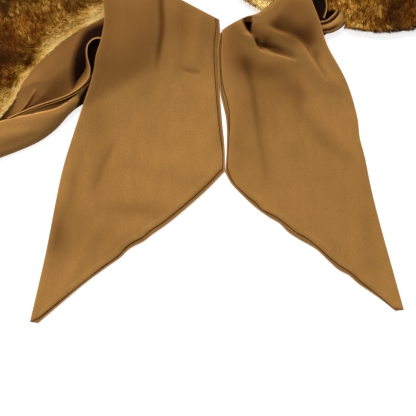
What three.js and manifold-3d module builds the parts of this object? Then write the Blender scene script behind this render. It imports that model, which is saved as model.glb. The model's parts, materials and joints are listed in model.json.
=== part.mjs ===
// Fur collar wrap, laid out flat: a horseshoe of fur that is open at the front,
// and two wide ties of doubled crepe that are folded over at its front ends.
import * as THREE from "three";
import { mergeVertices } from "three/addons/utils/BufferGeometryUtils.js";
import Module from "manifold-3d";

const wasm = await Module();
wasm.setup();

// Driving dimensions in millimetres: X to the right, Y up the table, Z off the table.
const CLOTH = 1.2; // one layer of crepe
const ROOM = 0.4; // between two layers that touch
const CLEARANCE = 0.3; // cut out of a piece around its neighbours
const PILE = 17; // height of the fur, hair included
const FUR_EDGE = 5; // height of the fur at its edges
const FUR_ROUND = 15; // width of the rounding along the fur's edges
const NECK_RADIUS = 68;
const NECK = { x: -20, y: 347 };

// The collar's outer radius, from the left front end round the back to the right one.
// Columns: share of the way round, radius.
const OUTER_RADIUS = [
  [0, 382],
  [0.12, 322],
  [0.26, 278],
  [0.5, 262],
  [0.78, 272],
  [0.9, 291],
  [1, 313],
];

// The collar's two front ends, from the neck to the outer corner. Columns: x, y.
const LEFT_END = [
  [-39.5, 268.5],
  [-88, 226.5],
  [-114.5, 209.5],
  [-144.5, 192.5],
  [-182.5, 163],
  [-203.5, 136],
  [-213, 117.5],
  [-227, 99.5],
  [-240, 81],
  [-260, 50],
];
const RIGHT_END = [
  [4.5, 268.5],
  [22, 244],
  [38.5, 229],
  [56, 218],
  [101, 203],
  [152, 197],
  [182.5, 192.5],
  [229, 197],
  [264, 215.5],
];

// Outlines of the left tie, from its fold down to its point. Columns: x, y.
const LEFT_TIE = {
  side: [
    [-115.5, 273],
    [-115, 229],
    [-113.5, 209],
    [-118.5, 185],
    [-127, 153],
    [-136, 123],
    [-148, 81.5],
    [-160, 42],
    [-178.5, -49.5],
    [-196, -125.5],
  ],
  front: [
    [8, 208.5],
    [8.5, 199],
    [5.5, 178],
    [7, 137.5],
    [12.5, 82.5],
    [16, 57],
    [15.5, 43.5],
  ],
  frontHem: [
    [15.5, 43.5],
    [-5.5, 22],
    [-47, -13.5],
    [-96, -48],
    [-131, -76.5],
    [-186, -120.5],
  ],
  back: [
    [11, 207],
    [12, 192.5],
    [9.2, 172],
    [9.2, 154],
    [12.5, 119],
    [18, 60.5],
    [18.5, 40.5],
  ],
  backHem: [
    [18.5, 40.5],
    [-3.5, 18],
    [-43.5, -16.5],
    [-94, -53],
    [-134.5, -82],
    [-187, -126.5],
  ],
};

// Outlines of the right tie, from its gathered top down to its point. Columns: x, y.
const RIGHT_TIE = {
  side: [
    [107, 250],
    [113, 229],
    [122, 205.5],
    [130, 180.5],
    [152, 139.5],
    [164, 100],
    [172, 53],
    [186.5, -16.5],
    [203.5, -80.5],
    [212.5, -109],
  ],
  top: [
    [87, 252],
    [74.5, 229],
    [54, 213],
    [42.5, 210],
    [20.5, 199],
    [15.5, 195],
  ],
  front: [
    [15.5, 195],
    [14.5, 163],
    [16.5, 137.5],
    [24, 105.5],
    [23, 70],
    [22, 44],
  ],
  frontHem: [
    [22, 44],
    [28, 30],
    [58, 1.5],
    [88, -18.5],
    [142.5, -59.5],
    [203, -107],
  ],
  backTop: [
    [86, 253],
    [73.5, 229],
    [53, 212],
    [41.5, 208.5],
    [19, 197],
    [13, 191],
  ],
  back: [
    [13, 191],
    [10.2, 176],
    [10.6, 160],
    [13.5, 127],
    [20, 97],
    [20.5, 62.5],
    [18.8, 39.5],
  ],
  backHem: [
    [18.8, 39.5],
    [25, 29],
    [55, -1],
    [89.5, -26],
    [136.5, -62.5],
    [173, -88],
    [206, -110],
  ],
};

// Soft folds of the ties as ridges, or troughs where the height is negative.
// Columns: x and y of one end, x and y of the other end, half width, height.
const LEFT_FOLDS = [
  [-54, 225, -54, 140, 9, 2.4],
  [-100, 66, -132, 6, 9, 3],
  [-70, 48, -12, 40, 16, 2.6],
  [-142, 66, -170, -34, 7, 1.8],
  [-40, 186, -4, 182, 6, 1.6],
];
const RIGHT_FOLDS = [
  [38, 196, 45, 188, 7, 2.5],
  [47, 196, 52, 185, 5.5, -8],
  [56, 181, 84, 172, 5.5, -6],
  [58, 205, 84, 193, 7, 3.5],
  [84, 193, 134, 141, 8, 5],
  [30, 160, 50, 60, 8, 2.2],
  [74, 158, 96, 70, 13, 3.2],
  [112, 120, 152, 66, 11, 3],
];

// Heights of the ties where they cross the bundle, and how far down the table the rise reaches.
// Columns: y on the table, height of the layer below.
const LEFT_RISE_SIDE = [
  [70, 0],
  [125, 9],
  [155, 19],
  [190, 24],
  [225, 23],
  [273, 18.5],
];
const LEFT_RISE_INNER = [
  [100, 0],
  [205, 6],
];
const RIGHT_RISE = [
  [116, 0],
  [180, 14],
  [215, 23],
  [250, 18.5],
];
// The right tie's inner side rises to this share of its height, at these places across.
const RIGHT_INNER = { share: 0.55, from: 15, to: 60 };

// The visible stretch between the left front end and the fold of the tie. Columns: x, y.
const LEFT_ROOT = {
  seam: [
    [-238, 89],
    [-227, 98.5],
    [-213, 116.5],
    [-203.5, 135],
    [-182.5, 162],
    [-144.5, 191.5],
    [-114.5, 208.5],
    [-66, 240],
    [-31, 223],
    [2, 207],
  ],
  inner: [
    [-235, 88],
    [-229, 93.5],
    [-187, 103],
    [-165.5, 108.5],
    [-148.5, 119.5],
    [-134, 132],
    [-118, 143],
    [-80, 150],
    [-30, 165],
    [0, 198],
  ],
};
const LEFT_PLEAT = [
  [-220, 98],
  [-191, 110.5],
  [-153, 124],
  [-138, 133.5],
  [-130.5, 143],
  [-129, 152],
  [-132.5, 168],
  [-131, 179],
  [-123, 185.5],
  [-110, 184],
];
const LEFT_ROLL = {
  inner: [
    [-258, 54],
    [-247, 72],
    [-236, 89],
    [-229, 94.5],
    [-187, 104],
    [-165.5, 109.5],
    [-148.5, 120.5],
    [-136, 132],
  ],
  outer: [
    [-256, 48],
    [-243, 50],
    [-229, 55],
    [-187, 72.5],
    [-167, 87],
    [-153, 102.5],
    [-133, 130],
  ],
};
const PLEAT_THICKNESS = 2.4;
const PLEAT_HEIGHT = { seam: 12, loop: 21 };
const ROLL_HEIGHT = 14;
const ROOT_HEIGHT = { seam: 10, crown: 13, valley: 3.2 };
// Places across the bundle: the left tie covers it from its edge on, and the hidden layers
// rise between the other two to carry the tie.
const UNDER_TIE = { edge: -134, from: -112, to: -88 };

// The hidden layers under the gathered right tie, and the folds that show beside it. Columns: x, y.
const RIGHT_ROOT = {
  lower: [
    [58, 182],
    [80, 173],
    [105, 175],
    [125, 187],
    [139, 200],
  ],
  upper: [
    [70, 222],
    [84, 236],
    [100, 243],
    [120, 242],
    [137, 236],
  ],
};
const RIGHT_LOOP_OUTER = {
  inner: [
    [138, 231],
    [142, 219.5],
    [143.5, 212],
    [140, 205.5],
    [131, 200.5],
    [116, 199],
  ],
  outer: [
    [144, 231],
    [148, 216],
    [152, 206.5],
    [148.5, 199.5],
    [138, 194],
    [114.5, 192],
  ],
};
const RIGHT_LOOP_INNER = {
  inner: [
    [133, 226],
    [136.5, 216],
    [132, 210.5],
    [122, 207],
    [112, 207.5],
  ],
  outer: [
    [137, 226],
    [141, 215],
    [136, 208],
    [124, 203.2],
    [113, 203],
  ],
};
const RIGHT_PLEAT = [
  [125, 240],
  [128.5, 229],
  [130.5, 218],
  [127, 211],
];
const LOOP_HEIGHT = { outer: 13, inner: 16, pleat: 18 };
const RIGHT_ROOT_HEIGHT = { under: 19, beside: 8, from: 104, to: 124 };

const COLOURS = {
  fur: { color: "#85551b", roughness: 0.95 },
  crepe: { color: "#a1753e", roughness: 0.85 },
  crepeBack: { color: "#8a6233", roughness: 0.85 },
  crepeRoot: { color: "#79512b", roughness: 0.85 },
};

const clamp = THREE.MathUtils.clamp;
const lerp = THREE.MathUtils.lerp;
const smooth = THREE.MathUtils.smoothstep;

// A smooth line through a table's rows, read by the share of its length.
function line(rows) {
  const points = rows.map(([x, y]) => new THREE.Vector3(x, y, 0));
  const curve = new THREE.CatmullRomCurve3(points, false, "centripetal");
  return (share) => curve.getPointAt(clamp(share, 0, 1));
}

// Several lines one after the other; each row holds a line and the share at which it ends.
function chain(...rows) {
  return (share) => {
    let start = 0;
    for (const [part, end] of rows) {
      if (share <= end || end === 1) return part((share - start) / (end - start));
      start = end;
    }
  };
}

// A value read from a table of [place, value] rows.
function lookUp(rows, place) {
  const next = rows.findIndex(([at]) => at >= place);
  if (next < 1) return rows[next < 0 ? rows.length - 1 : 0][1];
  const [a, b] = [rows[next - 1], rows[next]];
  return lerp(a[1], b[1], smooth(place, a[0], b[0]));
}

// The flat area between two lines: u runs from one line to the other, v along them.
function between(first, second) {
  return (u, v) => first(v).lerp(second(v), u);
}

const even = (count) => Array.from({ length: count + 1 }, (_, i) => i / count);

// Which way a grid of flat points turns: positive where its rows lie to the left of its columns.
function turnOf(grid) {
  let turn = 0;
  for (let i = 1; i < grid.length; i++) {
    for (let j = 1; j < grid[i].length; j++) {
      const [p, a, b] = [grid[i - 1][j - 1], grid[i][j], grid[i - 1][j]];
      turn += (a.x - p.x) * (b.y - p.y) - (a.y - p.y) * (b.x - p.x);
    }
  }
  return turn;
}

// A closed wall over the flat area: heights gives its lower and upper face at a point.
// A positive extra grows it on every side, to cut room for it out of its neighbours.
function wall({ area, heights, us, vs, extra = 0 }) {
  const positions = [];
  const [columns, rows] = [us.length, vs.length];
  const grid = us.map((u) => vs.map((v) => area(u, v)));
  const away = (from, to) => new THREE.Vector3().subVectors(from, to).setLength(extra);
  for (const side of [1, 0]) {
    us.forEach((u, i) => {
      vs.forEach((v, j) => {
        const p = grid[i][j].clone();
        if (extra && i === 0) p.add(away(grid[0][j], grid[1][j]));
        if (extra && i === columns - 1) p.add(away(grid[i][j], grid[i - 1][j]));
        if (extra && j === 0) p.add(away(grid[i][0], grid[i][1]));
        if (extra && j === rows - 1) p.add(away(grid[i][j], grid[i][j - 1]));
        const { low, high } = heights(grid[i][j].x, grid[i][j].y, u, v);
        positions.push(p.x, p.y, side ? high + extra : low - extra);
      });
    });
  }
  const at = (i, j, side) => (side ? 0 : columns * rows) + i * rows + j;
  const faces = [];
  const quad = (a, b, c, d) => faces.push(a, b, c, a, c, d);
  for (let i = 0; i + 1 < columns; i++) {
    for (let j = 0; j + 1 < rows; j++) {
      quad(at(i, j, 1), at(i + 1, j, 1), at(i + 1, j + 1, 1), at(i, j + 1, 1));
      quad(at(i, j, 0), at(i, j + 1, 0), at(i + 1, j + 1, 0), at(i + 1, j, 0));
    }
    quad(at(i, 0, 0), at(i + 1, 0, 0), at(i + 1, 0, 1), at(i, 0, 1));
    quad(at(i, rows - 1, 1), at(i + 1, rows - 1, 1), at(i + 1, rows - 1, 0), at(i, rows - 1, 0));
  }
  for (let j = 0; j + 1 < rows; j++) {
    quad(at(0, j, 1), at(0, j + 1, 1), at(0, j + 1, 0), at(0, j, 0));
    const last = columns - 1;
    quad(at(last, j, 0), at(last, j + 1, 0), at(last, j + 1, 1), at(last, j, 1));
  }
  if (turnOf(grid) < 0) {
    for (let i = 0; i < faces.length; i += 3) {
      [faces[i + 1], faces[i + 2]] = [faces[i + 2], faces[i + 1]];
    }
  }
  const geometry = new THREE.BufferGeometry();
  geometry.setAttribute("position", new THREE.Float32BufferAttribute(positions, 3));
  geometry.setIndex(faces);
  return geometry;
}

function toSolid(geometry) {
  const merged = mergeVertices(geometry, 1e-4);
  return new wasm.Manifold(
    new wasm.Mesh({
      numProp: 3,
      vertProperties: merged.attributes.position.array,
      triVerts: new Uint32Array(merged.index.array),
    }),
  );
}

// The wall with room cut out of it for its neighbours, as the largest piece that is left.
function cutRoom(form, neighbours) {
  let solid = toSolid(wall(form));
  for (const other of neighbours) {
    solid = solid.subtract(toSolid(wall({ ...other, extra: CLEARANCE })));
  }
  const pieces = solid.decompose().sort((a, b) => b.volume() - a.volume());
  const { vertProperties, triVerts } = pieces[0].getMesh();
  const geometry = new THREE.BufferGeometry();
  geometry.setAttribute("position", new THREE.BufferAttribute(vertProperties, 3));
  geometry.setIndex(new THREE.BufferAttribute(triVerts, 1));
  return geometry;
}

// The height of soft folds at a point: each is a rounded ridge that fades out at its ends.
function foldHeight(table, x, y) {
  let height = 0;
  for (const [x1, y1, x2, y2, half, high] of table) {
    const length = Math.hypot(x2 - x1, y2 - y1);
    const along = ((x - x1) * (x2 - x1) + (y - y1) * (y2 - y1)) / length;
    const across = Math.abs((x - x1) * (y2 - y1) - (y - y1) * (x2 - x1)) / length;
    const past = Math.max(0, -along, along - length);
    const distance = Math.hypot(across, past);
    height += high * Math.exp(-((distance / half) ** 2));
  }
  return height;
}

function leftLift(x, y) {
  const side = lookUp(LEFT_RISE_SIDE, y);
  const inner = lookUp(LEFT_RISE_INNER, y);
  const [sideX, innerX] = [LEFT_TIE.side[0][0], LEFT_TIE.front[0][0]];
  return Math.max(0, lerp(side, inner, smooth(x, sideX, innerX)) + foldHeight(LEFT_FOLDS, x, y));
}

function rightLift(x, y) {
  const share = lerp(RIGHT_INNER.share, 1, smooth(x, RIGHT_INNER.from, RIGHT_INNER.to));
  const base = lookUp(RIGHT_RISE, y) * share;
  return Math.max(0, base + foldHeight(RIGHT_FOLDS, x, y));
}

// The lower layer lies where the lift puts it, and the upper layer lies on it.
const layer = (lift, number) => (x, y) => {
  const low = lift(x, y) + number * (CLOTH + ROOM);
  return { low, high: low + CLOTH };
};

const CORNER = 0.5; // share of a tie's length at which its slanted end begins
const TOP = 0.28; // share of the right tie's length that its gathered top takes

// A tie's two layers share the points of the front one, and the back one reaches out to its own edge.
function tie({ front, backEdge, outer, lift, us, vs }) {
  const rim = (u, v) => (u >= 0 && u <= 1 ? front(u, v) : backEdge(v));
  const backUs = outer > 1 ? [...us, outer] : [outer, ...us];
  return {
    front: { area: front, heights: layer(lift, 1), us, vs },
    back: { area: rim, heights: layer(lift, 0), us: backUs, vs },
  };
}

// Shares of a length: each row holds where a stretch ends and how many steps it takes.
function steps(...rows) {
  const shares = [0];
  for (const [end, count] of rows) {
    const start = shares.at(-1);
    shares.push(...even(count).slice(1).map((share) => lerp(start, end, share)));
  }
  return shares;
}

const leftTie = tie({
  front: between(line(LEFT_TIE.side), chain([line(LEFT_TIE.front), CORNER], [line(LEFT_TIE.frontHem), 1])),
  backEdge: chain([line(LEFT_TIE.back), CORNER], [line(LEFT_TIE.backHem), 1]),
  outer: 2,
  lift: leftLift,
  us: even(12),
  vs: steps([CORNER, 15], [1, 9]),
});

const rightTie = tie({
  front: between(
    chain([line(RIGHT_TIE.top), TOP], [line(RIGHT_TIE.front), CORNER], [line(RIGHT_TIE.frontHem), 1]),
    line(RIGHT_TIE.side),
  ),
  backEdge: chain([line(RIGHT_TIE.backTop), TOP], [line(RIGHT_TIE.back), CORNER], [line(RIGHT_TIE.backHem), 1]),
  outer: -1,
  lift: rightLift,
  us: even(16),
  vs: steps([TOP, 13], [CORNER, 8], [1, 9]),
});

// A narrow strip of cloth that stands on its edge along a line.
function strip(rows, thickness) {
  const path = line(rows);
  return (u, v) => {
    const p = path(v);
    const ahead = new THREE.Vector3().subVectors(path(v + 0.01), path(v - 0.01)).normalize();
    return new THREE.Vector3(p.x - ahead.y * thickness * (u - 0.5), p.y + ahead.x * thickness * (u - 0.5), 0);
  };
}

const leftPleat = {
  area: strip(LEFT_PLEAT, PLEAT_THICKNESS),
  heights: (x, y, u, v) => {
    const high = lerp(PLEAT_HEIGHT.seam, PLEAT_HEIGHT.loop, smooth(v, 0.3, 0.8));
    const under = x > UNDER_TIE.edge ? leftLift(x, y) - 2 * ROOM : high;
    return { low: ROOT_HEIGHT.valley + ROOM, high: Math.min(high, under) };
  },
  us: [0, 0.5, 1],
  vs: even(30),
};

// The roll is highest near its inner edge and rounds down to the table at its outer edge.
const leftRoll = {
  area: between(line(LEFT_ROLL.inner), line(LEFT_ROLL.outer)),
  heights: (x, y, u, v) => {
    const across = Math.sqrt(Math.max(0, 1 - ((u - 0.25) / 0.75) ** 2));
    return { low: 0, high: Math.max(1.5, ROLL_HEIGHT * across * lerp(1, 0.75, smooth(v, 0.7, 1))) };
  },
  us: [0, 0.12, 0.35, 0.6, 0.8, 0.93, 1],
  vs: even(18),
};

// The flap beside the fur, crowned at its middle, and the hidden layers that carry the tie.
const leftRoot = {
  area: between(line(LEFT_ROOT.seam), line(LEFT_ROOT.inner)),
  heights: (x, y, u, v) => {
    const high = ROOT_HEIGHT;
    const crown = lerp(high.seam, high.crown, smooth(u, 0, 0.3));
    const flap = lerp(crown, high.valley, smooth(u, 0.4, 0.85));
    const under = Math.max(high.valley, leftLift(x, y) - 2 * ROOM);
    return { low: 0, high: Math.min(under, lerp(flap, under, smooth(x, UNDER_TIE.from, UNDER_TIE.to))) };
  },
  us: even(9),
  vs: even(26),
};

const rightRoot = {
  area: between(line(RIGHT_ROOT.lower), line(RIGHT_ROOT.upper)),
  heights: (x, y) => {
    const high = RIGHT_ROOT_HEIGHT;
    const crown = lerp(high.under, high.beside, smooth(x, high.from, high.to));
    return { low: 0, high: Math.max(2, Math.min(crown, rightLift(x, y) - ROOM - 0.5)) };
  },
  us: even(7),
  vs: even(9),
};

const strand = (table, high) => ({
  area: between(line(table.inner), line(table.outer)),
  heights: (x, y, u) => ({ low: 0, high: high - 3 * u * u }),
  us: even(3),
  vs: even(16),
});
const rightLoopOuter = strand(RIGHT_LOOP_OUTER, LOOP_HEIGHT.outer);
const rightLoopInner = strand(RIGHT_LOOP_INNER, LOOP_HEIGHT.inner);
const rightPleat = {
  area: strip(RIGHT_PLEAT, PLEAT_THICKNESS),
  heights: () => ({ low: 0, high: LOOP_HEIGHT.pleat }),
  us: [0, 0.5, 1],
  vs: even(12),
};

// The fur: u runs from the left front end round the back to the right one, v from the neck out.
function furArea() {
  const [left, right] = [line(LEFT_END), line(RIGHT_END)];
  const polar = (p, turn) => ({
    angle: Math.atan2(p.y - NECK.y, p.x - NECK.x) + turn,
    radius: Math.hypot(p.x - NECK.x, p.y - NECK.y),
  });
  const blend = 0.2;
  return (u, v) => {
    const a = polar(left(v), 2 * Math.PI);
    const b = polar(right(v), 0);
    const angle = lerp(a.angle, b.angle, u);
    const nearLeft = 1 - smooth(u, 0, blend);
    const nearRight = smooth(u, 1 - blend, 1);
    const plain = lerp(NECK_RADIUS, lookUp(OUTER_RADIUS, u), v);
    const radius = a.radius * nearLeft + b.radius * nearRight + plain * (1 - nearLeft - nearRight);
    return new THREE.Vector3(NECK.x + radius * Math.cos(angle), NECK.y + radius * Math.sin(angle), 0);
  };
}

const fur = {
  area: furArea(),
  heights: (x, y, u, v) => {
    const [depth, around] = [205, 980];
    const inside = Math.min(v * depth, (1 - v) * depth, u * around, (1 - u) * around);
    const rounding = Math.sqrt(1 - (1 - clamp(inside / FUR_ROUND, 0, 1)) ** 2);
    return { low: 0, high: lerp(FUR_EDGE, PILE, rounding) };
  },
  us: [0, 0.004, 0.01, 0.016, ...even(28).slice(1, -1), 0.984, 0.99, 0.996, 1],
  vs: [0, 0.02, 0.045, 0.075, 0.25, 0.5, 0.75, 0.925, 0.955, 0.98, 1],
};

// A node: its name, its form, the neighbours that it leaves room for, and its finish.
const nodes = [
  ["tie_left_front", leftTie.front, [], COLOURS.crepe],
  ["tie_left_back", leftTie.back, [], COLOURS.crepeBack],
  ["tie_left_pleat", leftPleat, [leftTie.back], COLOURS.crepe],
  ["tie_left_roll", leftRoll, [leftTie.back, leftPleat], COLOURS.crepe],
  ["tie_left_root", leftRoot, [leftTie.back, leftPleat, leftRoll], COLOURS.crepeRoot],
  ["tie_right_front", rightTie.front, [], COLOURS.crepe],
  ["tie_right_back", rightTie.back, [], COLOURS.crepeBack],
  ["tie_right_loop_outer", rightLoopOuter, [rightTie.back], COLOURS.crepe],
  ["tie_right_loop_inner", rightLoopInner, [rightTie.back, rightLoopOuter], COLOURS.crepe],
  ["tie_right_pleat", rightPleat, [rightTie.back, rightLoopInner], COLOURS.crepe],
  [
    "tie_right_root",
    rightRoot,
    [rightTie.back, rightLoopOuter, rightLoopInner, rightPleat],
    COLOURS.crepeRoot,
  ],
  [
    "fur_collar",
    fur,
    [
      leftTie.back,
      leftPleat,
      leftRoll,
      leftRoot,
      rightTie.back,
      rightLoopOuter,
      rightLoopInner,
      rightPleat,
      rightRoot,
    ],
    COLOURS.fur,
  ],
];

const group = new THREE.Group();
for (const [name, form, neighbours, finish] of nodes) {
  const material = new THREE.MeshStandardMaterial({ metalness: 0, ...finish });
  const mesh = new THREE.Mesh(cutRoom(form, neighbours), material);
  mesh.name = name;
  group.add(mesh);
}

// The origin is under the middle of the whole, on the table.
const box = new THREE.Box3().setFromObject(group);
const middle = box.getCenter(new THREE.Vector3());
group.position.set(-middle.x, -middle.y, -box.min.z);

export default group;
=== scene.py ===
# %% [markdown]
# # Fur collar wrap
# A horseshoe of short fur lies flat on a pale table, with two wide ties of doubled crepe folded over
# at its open front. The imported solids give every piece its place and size. This lesson dresses them:
# thin crepe shells with soft folds and sewn rims, then a pelt with some hundred and seventy thousand hairs.

# %% Load the frame
import json

import bmesh
import bpy
import numpy as np
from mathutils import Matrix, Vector

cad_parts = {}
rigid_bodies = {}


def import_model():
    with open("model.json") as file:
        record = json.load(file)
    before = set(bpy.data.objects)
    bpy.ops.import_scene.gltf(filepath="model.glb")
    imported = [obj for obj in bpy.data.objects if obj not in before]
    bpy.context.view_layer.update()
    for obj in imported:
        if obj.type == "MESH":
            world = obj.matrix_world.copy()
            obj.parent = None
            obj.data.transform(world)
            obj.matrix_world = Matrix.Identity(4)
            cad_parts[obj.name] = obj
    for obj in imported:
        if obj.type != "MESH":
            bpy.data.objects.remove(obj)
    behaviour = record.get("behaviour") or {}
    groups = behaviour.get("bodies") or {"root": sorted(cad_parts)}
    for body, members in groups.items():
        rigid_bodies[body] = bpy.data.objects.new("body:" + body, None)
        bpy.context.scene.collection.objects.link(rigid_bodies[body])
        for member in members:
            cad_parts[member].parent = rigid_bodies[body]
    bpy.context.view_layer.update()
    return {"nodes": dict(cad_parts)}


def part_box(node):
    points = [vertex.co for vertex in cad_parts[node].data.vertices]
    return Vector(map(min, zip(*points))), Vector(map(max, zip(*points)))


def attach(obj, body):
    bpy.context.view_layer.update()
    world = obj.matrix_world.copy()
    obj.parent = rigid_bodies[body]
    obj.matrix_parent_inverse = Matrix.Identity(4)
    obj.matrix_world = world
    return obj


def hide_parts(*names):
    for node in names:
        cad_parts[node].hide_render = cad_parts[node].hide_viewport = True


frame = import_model()
print("nodes:", len(frame["nodes"]))

# %% [markdown]
# ## Where things are
# All outlines below are in millimetres on the table, with x to the right and y up the photograph,
# measured from the middle of the photograph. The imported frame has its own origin, so one shift is
# worked out from the left tie's back panel: its point and its lowest hem are known in both.

# %% Table millimetres to frame metres
MM = 0.001
LEFT_POINT = (-196.0, -126.5)  # least x and least y of the left tie's back panel
PHOTO_SIDE = 457.6  # millimetres of table that the photograph spans
low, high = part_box("tie_left_back")
SHIFT = np.array([low[0] / MM - LEFT_POINT[0], low[1] / MM - LEFT_POINT[1], 0.0])
print("shift in mm:", SHIFT.round(2))


def smooth(x, start, end):
    t = np.clip((np.asarray(x, float) - start) / (end - start), 0, 1)
    return t * t * (3 - 2 * t)


def mix(a, b, t):
    return a + (b - a) * t


def look_up(rows, x):
    """A value eased between the rows of a table of (place, value)."""
    x = np.asarray(x, float)
    value = np.full(x.shape, float(rows[0][1]))
    for (x0, v0), (x1, v1) in zip(rows, rows[1:]):
        value = np.where(x >= x0, mix(v0, v1, smooth(x, x0, x1)), value)
    return value


def slope_through(rows, x, blur=16.0):
    """A value read straight between a table's rows and then softened, so that no bend shows."""
    places, values = np.array(rows, float).T
    shifts = np.linspace(-blur, blur, 9)
    return sum(np.interp(np.asarray(x, float) + shift, places, values) for shift in shifts) / 9


# %% [markdown]
# ## Camera, table and light
# The photograph looks straight down on a white table. A long lens at four metres keeps the raised
# folds in place. One broad lamp stands beyond the top of the picture, so each fold is brighter on its
# upper side and drops a short soft shadow below, and a white sky fills the shadows.

# %% Camera
CAMERA_HEIGHT = 4.0
camera_data = bpy.data.cameras.new("camera")
camera_data.sensor_width = 36.0
camera_data.lens = camera_data.sensor_width * CAMERA_HEIGHT / (PHOTO_SIDE * MM)
camera_data.clip_end = 20.0
camera = bpy.data.objects.new("camera", camera_data)
camera.location = (SHIFT[0] * MM, SHIFT[1] * MM, CAMERA_HEIGHT)
bpy.context.scene.collection.objects.link(camera)
bpy.context.scene.camera = camera
print("lens in mm:", round(camera_data.lens, 1))

# %% Table and lights
TABLE_COLOUR = (0.50, 0.50, 0.50, 1.0)
TABLE_GLOW = 0.70  # the table glows by itself, so that shadows on it stay pale
TABLE_HALF = 6.0
SKY_STRENGTH = 0.50
LAMP_FROM_CENTRE = (-1.2, 3.9, 3.4)
LAMP_WIDE = 2.6
LAMP_POWER = 330.0


def area_light(name, place, aim, size, power):
    data = bpy.data.lights.new(name, "AREA")
    data.shape = "DISK"
    data.size = size
    data.energy = power
    lamp = bpy.data.objects.new(name, data)
    lamp.location = place
    lamp.rotation_mode = "QUATERNION"
    lamp.rotation_quaternion = (Vector(aim) - Vector(place)).to_track_quat("-Z", "Y")
    lamp.visible_camera = False
    bpy.context.scene.collection.objects.link(lamp)
    return lamp


table_mesh = bpy.data.meshes.new("table")
corners = [(TABLE_HALF * right, TABLE_HALF * up, 0) for right, up in ((-1, -1), (1, -1), (1, 1), (-1, 1))]
table_mesh.from_pydata(corners, [], [(0, 1, 2, 3)])
table = bpy.data.objects.new("table", table_mesh)
table.location.z = -0.0002
bpy.context.scene.collection.objects.link(table)
table_finish = bpy.data.materials.new("table_white")
table_finish.use_nodes = True
table_shader = table_finish.node_tree.nodes["Principled BSDF"]
table_shader.inputs["Base Color"].default_value = TABLE_COLOUR
table_shader.inputs["Roughness"].default_value = 0.9
table_shader.inputs["Emission Color"].default_value = (1, 1, 1, 1)
table_shader.inputs["Emission Strength"].default_value = TABLE_GLOW
table_shader.inputs["Specular IOR Level"].default_value = 0.1
table_mesh.materials.append(table_finish)

world = bpy.data.worlds.new("sky")
world.use_nodes = True
world.node_tree.nodes["Background"].inputs["Color"].default_value = (1, 1, 1, 1)
world.node_tree.nodes["Background"].inputs["Strength"].default_value = SKY_STRENGTH
bpy.context.scene.world = world
centre = (SHIFT[0] * MM, SHIFT[1] * MM, 0.0)
lamp_place = [middle + away for middle, away in zip(centre, LAMP_FROM_CENTRE)]
key = area_light("key", lamp_place, centre, LAMP_WIDE, LAMP_POWER)
bpy.context.scene.view_settings.view_transform = "Standard"
print("lamp:", key.name, "and a white sky")


# %% [markdown]
# ## Lines, grids and cloth shells
# A maker's outline is a smooth line through a few points. Two such lines bound a panel, and a grid of
# points spans them. The grid is drawn tight along the edges, where the cloth rounds over, and wide in
# the middle. A closed shell with a top and an underside comes from one grid and a height for each point.

# %% Smooth lines
def smooth_line(rows, step=24):
    """A line through the rows of (x, y), read by shares of its length."""
    p = np.array(rows, float)
    p = np.vstack([2 * p[0] - p[1], p, 2 * p[-1] - p[-2]])
    dense = []
    for a, b, c, d in zip(p, p[1:], p[2:], p[3:]):
        t = np.cumsum([0.0] + [np.sqrt(np.linalg.norm(q - r)) for q, r in ((b, a), (c, b), (d, c))])
        s = np.linspace(t[1], t[2], step, endpoint=False)[:, None]
        ab = (t[1] - s) / (t[1] - t[0]) * a + (s - t[0]) / (t[1] - t[0]) * b
        bc = (t[2] - s) / (t[2] - t[1]) * b + (s - t[1]) / (t[2] - t[1]) * c
        cd = (t[3] - s) / (t[3] - t[2]) * c + (s - t[2]) / (t[3] - t[2]) * d
        abc = (t[2] - s) / (t[2] - t[0]) * ab + (s - t[0]) / (t[2] - t[0]) * bc
        bcd = (t[3] - s) / (t[3] - t[1]) * bc + (s - t[1]) / (t[3] - t[1]) * cd
        dense.append((t[2] - s) / (t[2] - t[1]) * abc + (s - t[1]) / (t[2] - t[1]) * bcd)
    dense = np.vstack([*dense, p[-2:-1]])
    run = np.concatenate([[0], np.cumsum(np.linalg.norm(np.diff(dense, axis=0), axis=1))])

    def at(share):
        place = np.clip(share, 0, 1) * run[-1]
        return np.stack([np.interp(place, run, dense[:, 0]), np.interp(place, run, dense[:, 1])], -1)

    at.length = run[-1]
    return at


def chain(*rows):
    """Lines one after the other; each row holds a line and the share at which it ends."""

    def at(share):
        share = np.asarray(share, float)
        out, start = np.zeros(share.shape + (2,)), 0.0
        for number, (part, end) in enumerate(rows):
            here = (share >= start) if number else np.ones(share.shape, bool)
            out[here] = part((share[here] - start) / (end - start))
            start = end
        return out

    at.length = sum(part.length for part, _ in rows)
    return at


def nearest(rows, x, y):
    """Signed distance to a smooth line, positive on its left, and the share of its length there."""
    line = smooth_line(rows)
    shares = np.linspace(0, 1, 60)
    p = line(shares)
    best = np.full(x.shape, 1e9)
    side, share = np.zeros(x.shape), np.zeros(x.shape)
    for i in range(len(p) - 1):
        d = p[i + 1] - p[i]
        length = np.hypot(*d)
        along = np.clip(((x - p[i, 0]) * d[0] + (y - p[i, 1]) * d[1]) / length**2, 0, 1)
        gap = np.hypot(x - p[i, 0] - along * d[0], y - p[i, 1] - along * d[1])
        cross = (d[0] * (y - p[i, 1]) - d[1] * (x - p[i, 0])) / length
        closer = gap < best
        best = np.where(closer, gap, best)
        side = np.where(closer, np.where(cross >= 0, 1.0, -1.0), side)
        share = np.where(closer, (i + along) / (len(p) - 1), share)
    return best * side, share


def distance_to(outline, x, y):
    """Distance from each point to a closed outline."""
    best = np.full(x.shape, 1e9)
    for (x1, y1), (x2, y2) in zip(outline, np.roll(outline, -1, axis=0)):
        dx, dy = x2 - x1, y2 - y1
        along = np.clip(((x - x1) * dx + (y - y1) * dy) / max(dx * dx + dy * dy, 1e-9), 0, 1)
        best = np.minimum(best, np.hypot(x - x1 - along * dx, y - y1 - along * dy))
    return best


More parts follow.
